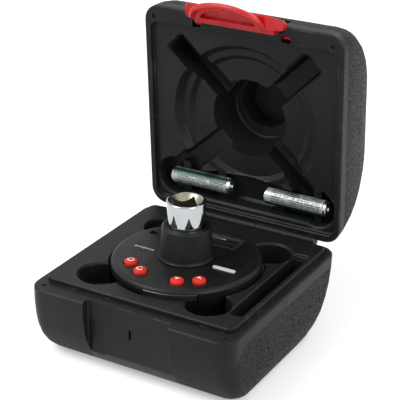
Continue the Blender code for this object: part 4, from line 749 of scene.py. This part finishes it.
class GAUGE_OT_housing(Dress):
    """Round cover, pan, seal and cell door of the gauge"""
    bl_idname = "gauge.housing"
    bl_label = "Housing"

    def execute(self, context):
        look = context.scene.gauge_look
        plastic = housing_plastic("housing_satin_black", look.plastic, look.satin)
        own(self.cover(look), "gauge", plastic, ["housing_top"])
        black = tuple(look.plastic)
        # The pan is painted a little lighter than the cover as a painted sheen, and made glossier.
        pan_glossier_painted_lighter = housing_plastic("pan_satin_black_painted_sheen", lighter(black, 0.005), look.satin - 0.08, 0.6)
        own(self.pan(), "gauge", pan_glossier_painted_lighter, ["housing_base"])
        # The cell door is painted a little lighter than the cover as a painted sheen, and made shinier.
        door_shinier_painted_lighter = housing_plastic("cell_door_black_painted_sheen", lighter(black, 0.009), look.satin - 0.06, 0.7)
        own(self.door(), "gauge", door_shinier_painted_lighter, ["battery_door"])
        dress_node("housing_seal", housing_plastic("seal_rubber_black", (0.012, 0.012, 0.012), 0.6))
        return self.done("housing")

    def cover(self, look):
        """The cover, with its key holes, display seat, clip recess and door opening."""
        wall, bore = COVER_WALL, COLLAR_BORE
        inner = COVER_RADIUS - wall
        profile = [(bore, FACE)] + quarter_round(COVER_RADIUS, FACE, look.rim_rounding, 10)
        profile += [(COVER_RADIUS, SEAM + 0.0009), (COVER_RADIUS - 0.00035, SEAM + 0.0003),
                    (COVER_RADIUS - 0.0006, SEAM), (inner, SEAM), (inner, FACE - wall), (bore, FACE - wall)]
        cover = turned("gauge_cover", profile, 180, closed=True)
        for node in KEY_NODES:
            radius = KEY_RADIUS + KEY_HOLE_CLEARANCE
            hole = [(0.0, FACE - 0.006), (radius, FACE - 0.006), (radius, FACE - 0.00030),
                    (radius + 0.00028, FACE), (radius + 0.0004, FACE + 0.002), (0.0, FACE + 0.002)]
            cutter = turned("hole_cutter", hole, 48)
            x, y = key_place(node)
            cut(cover, move(cutter, Matrix.Translation((x, y, 0.0))))
        cut(cover, block("seat_cutter", BEZEL_LOW.x - GAP, BEZEL_HIGH.x + GAP, BEZEL_LOW.y - GAP,
                         BEZEL_HIGH.y + GAP, BEZEL_LOW.z - GAP, FACE + 0.003, 0.0012))
        border = BEZEL_BORDER
        cut(cover, block("window_cutter", BEZEL_LOW.x + border, BEZEL_HIGH.x - border,
                         BEZEL_LOW.y + border, BEZEL_HIGH.y - border, FACE - 0.007, FACE, 0.0008))
        angle = radians(154)
        clip = block("clip_cutter", -0.00275, 0.00275, -0.0019, 0.0019, FACE - 0.0012, FACE + 0.002, 0.0006)
        reach = COVER_RADIUS - 0.0085
        cut(cover, move(clip, Matrix.Translation((reach * cos(angle), reach * sin(angle), 0.0))
                        @ Matrix.Rotation(angle, 4, "Z")))
        cut(cover, door_cutter())
        return smoothed(cover, 26)

    def pan(self):
        """The pan under the cover, drawn in below the seam."""
        top, low, wall = PAN_HIGH.z, PAN_LOW.z, COVER_WALL
        profile = [(0.0073, low), (0.0369, low), (0.0376, low + 0.0002), (0.0385, low + 0.0012),
                   (0.0412, top - 0.0055), (0.0438, top - 0.0016), (0.0440, top - 0.0010), (0.0440, top),
                   (0.0440 - wall, top), (0.0412 - wall, top - 0.0055), (0.0385 - wall, low + wall),
                   (0.0102, low + wall), (0.0102, low + 0.0062), (0.0073, low + 0.0062)]
        pan = turned("gauge_pan", profile, 180, closed=True)
        reach = 0.0300
        for number in range(3):
            angle = radians(30 + 120 * number)
            screw = turned("screw_cutter", [(0.0, low - 0.001), (0.0021, low - 0.001), (0.0021, low + 0.0012),
                                            (0.0, low + 0.0012)], 32)
            cut(pan, move(screw, Matrix.Translation((reach * cos(angle), reach * sin(angle), 0.0))))
        cut(pan, door_cutter())
        return smoothed(pan, 26)

    def door(self):
        """The curved door in the rim, with the thumb recess at its left end."""
        profile = door_profile()
        outer, high = profile[0]
        soft = 0.0003
        profile[0:1] = [(outer - soft, high), (outer, high - soft)]
        seam = GAP / COVER_RADIUS
        door = sector("gauge_cell_door", profile, DOOR_START + seam, DOOR_END - seam, 48)
        middle = DOOR_START + radians(6.5)
        half = COVER_RADIUS * radians(5.5)
        recess = block("thumb_cutter", COVER_RADIUS - 0.0012, COVER_RADIUS + 0.003, -half, half,
                       high - 0.0044, high - 0.0004, 0.0006)
        cut(door, move(recess, Matrix.Rotation(middle, 4, "Z")))
        return smoothed(door, 26)


class GAUGE_OT_socket(Dress):
    """Tall collar and the plated socket that stands in it"""
    bl_idname = "gauge.socket"
    bl_label = "Collar and socket"

    def execute(self, context):
        look = context.scene.gauge_look
        plastic = housing_plastic("collar_satin_black", look.plastic, look.satin + 0.02)
        own(self.collar(), "gauge", plastic, ["collar"])
        plating = metal("socket_chrome", look.chrome, 0.02, None, 0.03, SOCKET_MOUTH)
        own(self.socket(), "gauge", plating, ["drive_socket"])
        return self.done("collar and socket")

    def collar(self):
        """The collar: softened at the top, slightly wider and flared at the foot."""
        foot, top = COLLAR_LOW.z, COLLAR_HIGH.z
        widest = 0.0170
        bore = SOCKET_HIGH.x - SOCKET_TAPER * (SOCKET_HIGH.z - top) + GAP
        profile = [(bore, top - 0.0003), (bore + 0.0003, top), (0.0131, top)]
        profile += quarter_round(0.0148, top, 0.0017, 8)[1:]
        profile += [(0.0161, foot + 0.0030), (0.01625, foot + 0.0020), (0.0165, foot + 0.0012),
                    (widest - 0.0002, foot + 0.0009), (widest, foot + 0.0006), (widest, foot), (bore, foot)]
        return turned("gauge_collar", profile, 144, closed=True)

    def socket(self):
        """The bright socket, narrower below, with its lead-in cone and the square hole."""
        top, bottom, radius = SOCKET_HIGH.z, SOCKET_LOW.z, SOCKET_HIGH.x
        lead, half = SOCKET_MOUTH, 0.00645
        foot = radius - SOCKET_TAPER * (top - bottom)
        profile = [(0.0, bottom), (0.0073, bottom), (foot - 0.0003, bottom), (foot, bottom + 0.0003)]
        profile += reversed(quarter_round(radius, top, 0.0010, 8))
        profile += [(lead + 0.0004, top), (lead + 0.0001, top - 0.00015), (lead, top - 0.0004),
                    (0.0, top - 0.0004)]
        socket = turned("gauge_socket", profile, 160)
        cone = turned("cone_cutter", [(0.0, top - 0.0040), (half, top - 0.0040), (lead, top - 0.0005),
                                      (lead, top + 0.004), (0.0, top + 0.004)], 160)
        cut(socket, cone)
        square = block("square_cutter", -half, half, -half, half, top - 0.017, top + 0.004, 0.0006)
        cut(socket, move(square, Matrix.Rotation(radians(45), 4, "Z")))
        return smoothed(socket, 24)


class GAUGE_OT_keys(Dress):
    """Four domed red keys with plain signs"""
    bl_idname = "gauge.keys"
    bl_label = "Keys"

    def execute(self, context):
        look = context.scene.gauge_look
        rubber = key_rubber(look)
        ink = paint("key_sign_white", look.print)
        for node, body in zip(KEY_NODES, KEY_BODIES):
            cap = self.cap(node)
            own(cap, body, rubber, [node])
            sign = self.sign(node)
            own(sign, body, ink, ())
        return self.done("keys")

    def dome(self, node, radius):
        """Height of the cap's crown at a distance from its middle."""
        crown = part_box(node)[1].z
        share_out = min(radius / (KEY_RADIUS * 0.985), 0.999)
        return crown - KEY_DOME_DROP * (1.0 - sqrt(1.0 - share_out * share_out))

    def cap(self, node):
        """The domed cap, its flange under the cover and the stem that presses the switch."""
        low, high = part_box(node)
        radius = KEY_RADIUS
        flange = (high.x - low.x) / 2
        ceiling = FACE - 0.0028
        profile = [(0.0, high.z)]
        for step in range(1, 15):
            at = radius * 0.985 * sin(pi / 2 * step / 15)
            profile.append((at, self.dome(node, at)))
        below = ceiling - 0.0006
        profile += [(radius, high.z - 0.0019), (radius, ceiling), (flange, ceiling), (flange, below),
                    (0.0016, below), (0.0016, low.z), (0.0, low.z)]
        x, y = key_place(node)
        cap = turned("key_cap_" + node.removeprefix("button_"), profile, 64)
        return move(cap, Matrix.Translation((x, y, 0.0)))

    def sign(self, node):
        """Plain sign printed on the crown: a power ring, a turning arrow or a triangle."""
        kind = node.removeprefix("button_")
        size = 0.0019
        strokes = []
        if kind == "power":
            strokes.append(self.arc(size, range(125, 416, 10)))
            strokes.append([(0.0, size * 0.15), (0.0, size * 0.6), (0.0, size * 1.15)])
        elif kind == "reset":
            strokes.append(self.arc(size, range(70, 341, 10)))
            strokes.append([(size * 0.25, size * 0.45), (size * 0.30, size), (size * 0.85, size * 1.15)])
        shape = bmesh.new()
        for stroke in strokes:
            self.ribbon(shape, stroke, 0.00027)
        if kind in ("up", "down"):
            self.triangle(shape, size * 1.15, 1.0 if kind == "up" else -1.0)
        x, y = key_place(node)
        for vert in shape.verts:
            at = Vector((vert.co.x, vert.co.y)).length
            vert.co.z = self.dome(node, at) + (PRINT_PROUD if vert.co.z > 0 else -0.00025)
            vert.co.x += x
            vert.co.y += y
        return mesh_piece("key_sign_" + kind, shape, 50)

    def arc(self, radius, degrees):
        return [(radius * cos(radians(angle)), radius * sin(radians(angle))) for angle in degrees]

    def ribbon(self, shape, points, half):
        """A closed strip along a line; its depth is marked by z and set on the dome afterwards."""
        rows = []
        for index, (x, y) in enumerate(points):
            before = Vector(points[max(index - 1, 0)])
            after = Vector(points[min(index + 1, len(points) - 1)])
            side = (after - before).normalized().orthogonal() * half
            rows.append([(x + side.x, y + side.y, 1.0), (x - side.x, y - side.y, 1.0),
                         (x - side.x, y - side.y, -1.0), (x + side.x, y + side.y, -1.0)])
        close_ends(shape, grid_rows(shape, rows))

    def triangle(self, shape, size, up):
        """A solid triangle in strips, so that it follows the dome."""
        rows = []
        for step in range(9):
            level = size * (0.62 - 1.24 * step / 8)
            half = max(size * 0.95 * step / 8, size * 0.02)
            rows.append([(half, up * level, 1.0), (0.0, up * level, 1.0), (-half, up * level, 1.0),
                         (-half, up * level, -1.0), (0.0, up * level, -1.0), (half, up * level, -1.0)])
        close_ends(shape, grid_rows(shape, rows))


class GAUGE_OT_display(Dress):
    """Display frame, its light border lines, the dark window and the panel below"""
    bl_idname = "gauge.display"
    bl_label = "Display"

    def execute(self, context):
        look = context.scene.gauge_look
        frame_plastic = housing_plastic("display_frame_black", look.plastic, 0.30)
        own(self.bezel(), "gauge", frame_plastic, ["display_bezel"])
        ink = paint("display_line_grey", darker(tuple(look.print), 0.89), 0.35)
        for name, inset, width in (("display_line_outer", 0.0005, 0.00030),
                                   ("display_line_inner", 0.0021, 0.00034)):
            own(self.line(name, inset, width), "gauge", ink, ())
        own(self.window(), "gauge", display_glass(look), ["display_window"])
        dress_node("display_module", housing_plastic("display_panel_grey", (0.06, 0.075, 0.06), 0.4))
        return self.done("display")

    def frame_ring(self, name, outer_inset, inner_inset, low, high, corner, soft):
        """A flat rectangular ring with softened upper edges."""
        def outline(inset, level):
            return [(x, y, level) for x, y in rounded_outline(
                BEZEL_LOW.x + inset, BEZEL_HIGH.x - inset, BEZEL_LOW.y + inset, BEZEL_HIGH.y - inset,
                max(corner - inset, 0.0003))]
        shape = bmesh.new()
        shoulder = high - soft
        rows = [outline(outer_inset, low), outline(outer_inset, shoulder), outline(outer_inset + soft, high),
                outline(inner_inset - soft, high), outline(inner_inset, shoulder), outline(inner_inset, low)]
        join_ends(shape, grid_rows(shape, rows))
        return mesh_piece(name, shape)

    def bezel(self):
        return self.frame_ring("display_frame", 0.0, BEZEL_BORDER, BEZEL_LOW.z, BEZEL_HIGH.z, 0.0012, 0.00022)

    def line(self, name, inset, width):
        high = BEZEL_HIGH.z
        return self.frame_ring(name, inset, inset + width, high - 0.0001, high + 0.00003, 0.0012, 0.00001)

    def window(self):
        low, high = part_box("display_window")
        return block("display_window_pane", low.x, high.x, low.y, high.y, low.z, high.z, 0.0005, 0.0001)


class GAUGE_OT_face_marks(Dress):
    """Bare plate and plain marks on the gauge's face"""
    bl_idname = "gauge.face_marks"
    bl_label = "Face marks"

    def execute(self, context):
        look = context.scene.gauge_look
        ink = paint("face_mark_white", look.print, 0.4)
        plate = block("badge_pill", BADGE_LOW.x, BADGE_HIGH.x, BADGE_LOW.y, BADGE_HIGH.y, FACE + PRINT_PROUD,
                      BADGE_HIGH.z, (BADGE_HIGH.y - BADGE_LOW.y) / 2, 0.00012)
        pale = paint("badge_pill_grey", darker(tuple(look.print), 0.30), 0.4)
        own(plate, "gauge", pale, ["badge_plate"])
        shape = bmesh.new()
        for number in range(11):
            x = -0.0335 + 0.00125 * number
            tall = 0.0011 if number % 5 == 0 else 0.0007
            self.tick(shape, x, -0.0040, 0.00022, tall)
        own(mesh_piece("face_scale_ticks", shape), "gauge", ink, ())
        return self.done("face marks")

    def tick(self, shape, x, y, half, tall):
        low, high = FACE - 0.0001, FACE + PRINT_PROUD
        rows = [[(x - half, y - tall, level), (x + half, y - tall, level), (x + half, y + tall, level),
                 (x - half, y + tall, level)] for level in (low, high)]
        close_ends(shape, grid_rows(shape, rows))


class GAUGE_OT_drive(Dress):
    """Drive square below the gauge and its sprung ball"""
    bl_idname = "gauge.drive"
    bl_label = "Drive square"

    def execute(self, context):
        look = context.scene.gauge_look
        dress_node("drive_square", metal("drive_square_steel", look.steel, 0.24, (1.0, 1.0, 30.0)), 30)
        dress_node("detent_ball", metal("detent_ball_steel", look.steel, 0.12), 60)
        return self.done("drive square")


class GAUGE_OT_inner_works(Dress):
    """Circuit board, sounder and key switches inside the housing"""
    bl_idname = "gauge.inner_works"
    bl_label = "Inner works"

    def execute(self, context):
        dress_node("circuit_board", laminate())
        dress_node("sounder", housing_plastic("sounder_black", (0.014, 0.014, 0.014), 0.5))
        switch = metal("key_switch_metal", (0.58, 0.58, 0.56), 0.3)
        for number in range(len(KEY_NODES)):
            dress_node(f"key_switch_{number}", switch)
        return self.done("inner works")


class GAUGE_OT_spare_cells(Dress):
    """Two spare cells: cans with their raised ends, and printed sleeves"""
    bl_idname = "gauge.spare_cells"
    bl_label = "Spare cells"

    def execute(self, context):
        look = context.scene.gauge_cells
        can = metal("cell_can_bare", look.can, 0.25, (1.0, 1.0, 1.0))
        bands = ((0.55, 1.45), (-1.25, -0.35))
        for number, body in enumerate(("spare_cell_left", "spare_cell_right")):
            low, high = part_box(f"cell_{number}_can")
            centre = ((low.x + high.x) / 2, (low.y + high.y) / 2, (low.z + high.z) / 2)
            own(self.can(number, low, high, centre), body, can, [f"cell_{number}_can"])
            sleeve = cell_sleeve(f"cell_{number}_foil", look, centre, CELL_RADIUS, bands[number])
            own(self.sleeve(number, centre), body, sleeve, [f"cell_{number}_sleeve"])
        return self.done("spare cells")

    def lay(self, item, centre, start):
        """Turn a piece made along Z so that it lies along X on the cell's axis."""
        return move(item, Matrix.Translation((start, centre[1], centre[2])) @ Matrix.Rotation(pi / 2, 4, "Y"))

    def can(self, number, low, high, centre):
        """The bare can with its rolled ends and raised contact."""
        radius = (high.z - low.z) / 2
        tall = high.x - low.x
        shoulder = tall - 0.0012
        profile = [(0.0, 0.0), (radius - 0.0007, 0.0)]
        profile += [(radius - 0.0006 + 0.0006 * sin(a), 0.0006 - 0.0006 * cos(a))
                    for a in (pi / 2 * step / 4 for step in range(1, 5))]
        profile += reversed(quarter_round(radius, shoulder, 0.0006, 5))
        profile += [(radius - 0.0012, shoulder - 0.00015), (0.0024, shoulder - 0.00015), (0.0020, shoulder),
                    (0.0019, shoulder + 0.0002), (0.0019, tall - 0.0004), (0.0017, tall - 0.0001),
                    (0.0014, tall), (0.0, tall)]
        return self.lay(turned(f"spare_can_{number}", profile, 72, smooth=40), centre, low.x)

    def sleeve(self, number, centre):
        """The printed foil round the can, turned in at both ends."""
        low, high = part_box(f"cell_{number}_sleeve")
        outer = (high.z - low.z) / 2
        inner = outer - 0.0003
        tall = high.x - low.x
        roll = 0.00035
        profile = [(inner - 0.00025, 0.0), (outer - roll, 0.0), (outer, roll), (outer, tall - roll),
                   (outer - roll, tall), (inner - 0.00025, tall)]
        return self.lay(turned(f"spare_sleeve_{number}", profile, 96, closed=True), centre, low.x)


class GAUGE_OT_stage(Dress):
    """Pale floor, soft lamps, world and camera"""
    bl_idname = "gauge.stage"
    bl_label = "Stage"

    def execute(self, context):
        look = context.scene.gauge_stage
        scene = context.scene
        scene.view_settings.view_transform = "Standard"
        shape = bmesh.new()
        rows = [[(0.0, 0.0, FLOOR_LEVEL)]]
        rows += [[(reach * cos(2 * pi * step / 96), reach * sin(2 * pi * step / 96), FLOOR_LEVEL)
                  for step in range(96)] for reach in FLOOR_REACH]
        grid_rows(shape, rows)
        floor = mesh_piece("floor", shape)
        floor.data.materials.append(floor_paint(look))
        self.world(scene)
        self.lamps(look)
        self.camera(scene, look)
        return self.done("stage")

    def world(self, scene):
        """Even pale surroundings; what the camera and bright surfaces see is white."""
        world = bpy.data.worlds.new("studio")
        scene.world = world
        world.use_nodes = True
        tree = world.node_tree
        soft = tree.nodes["Background"]
        soft.inputs["Color"].default_value = (1.0, 1.0, 1.0, 1.0)
        soft.inputs["Strength"].default_value = 0.42
        white = tree.nodes.new("ShaderNodeBackground")
        white.inputs["Color"].default_value = (1.0, 1.0, 1.0, 1.0)
        white.inputs["Strength"].default_value = 1.0
        rays = tree.nodes.new("ShaderNodeLightPath")
        most = rays.outputs["Is Camera Ray"]
        for name in ("Is Glossy Ray", "Is Transmission Ray"):
            step = tree.nodes.new("ShaderNodeMath")
            step.operation = "MAXIMUM"
            tree.links.new(most, step.inputs[0])
            tree.links.new(rays.outputs[name], step.inputs[1])
            most = step.outputs[0]
        choose = tree.nodes.new("ShaderNodeMixShader")
        tree.links.new(most, choose.inputs[0])
        tree.links.new(soft.outputs[0], choose.inputs[1])
        tree.links.new(white.outputs[0], choose.inputs[2])
        tree.links.new(choose.outputs[0], tree.nodes["World Output"].inputs["Surface"])

    def lamps(self, look):
        """A broad key lamp above the front left, a fill at the right and one behind."""
        for name, place, size, watts in (("key", (-0.9, -0.9, 1.5), 1.1, 26.0),
                                         ("fill", (1.3, -0.5, 0.9), 0.9, 10.0),
                                         ("back", (0.2, 1.2, 1.4), 1.0, 12.0)):
            lamp = bpy.data.lights.new(name, "AREA")
            lamp.shape = "SQUARE"
            lamp.size = size
            lamp.energy = watts * look.lamps
            item = link(bpy.data.objects.new(name, lamp))
            item.location = place
            towards = Vector((0.0, 0.0, 0.06)) - Vector(place)
            item.rotation_euler = towards.to_track_quat("-Z", "Y").to_euler()

    def camera(self, scene, look):
        """The camera, moved sideways and up from its line to the target by the photo's framing."""
        turn, rise = look.azimuth, look.elevation
        back = Vector((sin(turn) * cos(rise), -cos(turn) * cos(rise), sin(rise)))
        right = Vector((cos(turn), sin(turn), 0.0))
        up = back.cross(right)
        place = Vector(VIEW_TARGET) + back * look.distance + right * 0.008025 + up * 0.040349
        lens = bpy.data.cameras.new("camera")
        lens.lens = look.lens
        lens.sensor_width = 36.0
        lens.sensor_fit = "HORIZONTAL"
        lens.clip_start = 0.001
        item = link(bpy.data.objects.new("camera", lens))
        turned_to = Matrix((right, up, back)).transposed().to_4x4()
        item.matrix_world = Matrix.Translation(place) @ turned_to
        scene.camera = item


PIECES = (GAUGE_OT_stage, GAUGE_OT_case, GAUGE_OT_hinge, GAUGE_OT_handle, GAUGE_OT_housing,
          GAUGE_OT_socket, GAUGE_OT_keys, GAUGE_OT_display, GAUGE_OT_face_marks, GAUGE_OT_drive,
          GAUGE_OT_inner_works, GAUGE_OT_spare_cells)


class GAUGE_PT_pieces(bpy.types.Panel):
    """Lists the pieces with their sizes and colours"""
    bl_idname = "GAUGE_PT_pieces"
    bl_label = "Torque angle gauge"
    bl_space_type = "VIEW_3D"
    bl_region_type = "UI"
    bl_category = "Gauge"

    def draw(self, context):
        for name in LOOKS:
            look = getattr(context.scene, name)
            box = self.layout.box()
            box.label(text=type(look).__doc__)
            for key in look.bl_rna.properties.keys():
                if key not in ("rna_type", "name"):
                    box.prop(look, key)
        for piece in PIECES:
            self.layout.operator(piece.bl_idname)


LOOKS = {"gauge_case": CaseLook, "gauge_handle": HandleLook, "gauge_look": GaugeLook,
         "gauge_cells": CellLook, "gauge_stage": StageLook}
CLASSES = (*LOOKS.values(), *PIECES, GAUGE_PT_pieces)


def register():
    for item in CLASSES:
        bpy.utils.register_class(item)
    for name, look in LOOKS.items():
        setattr(bpy.types.Scene, name, bpy.props.PointerProperty(type=look))


def unregister():
    for name in LOOKS:
        delattr(bpy.types.Scene, name)
    for item in reversed(CLASSES):
        bpy.utils.unregister_class(item)


def main():
    register()
    for piece in PIECES:
        group, name = piece.bl_idname.split(".")
        getattr(getattr(bpy.ops, group), name)()


if __name__ == "__main__":
    main()
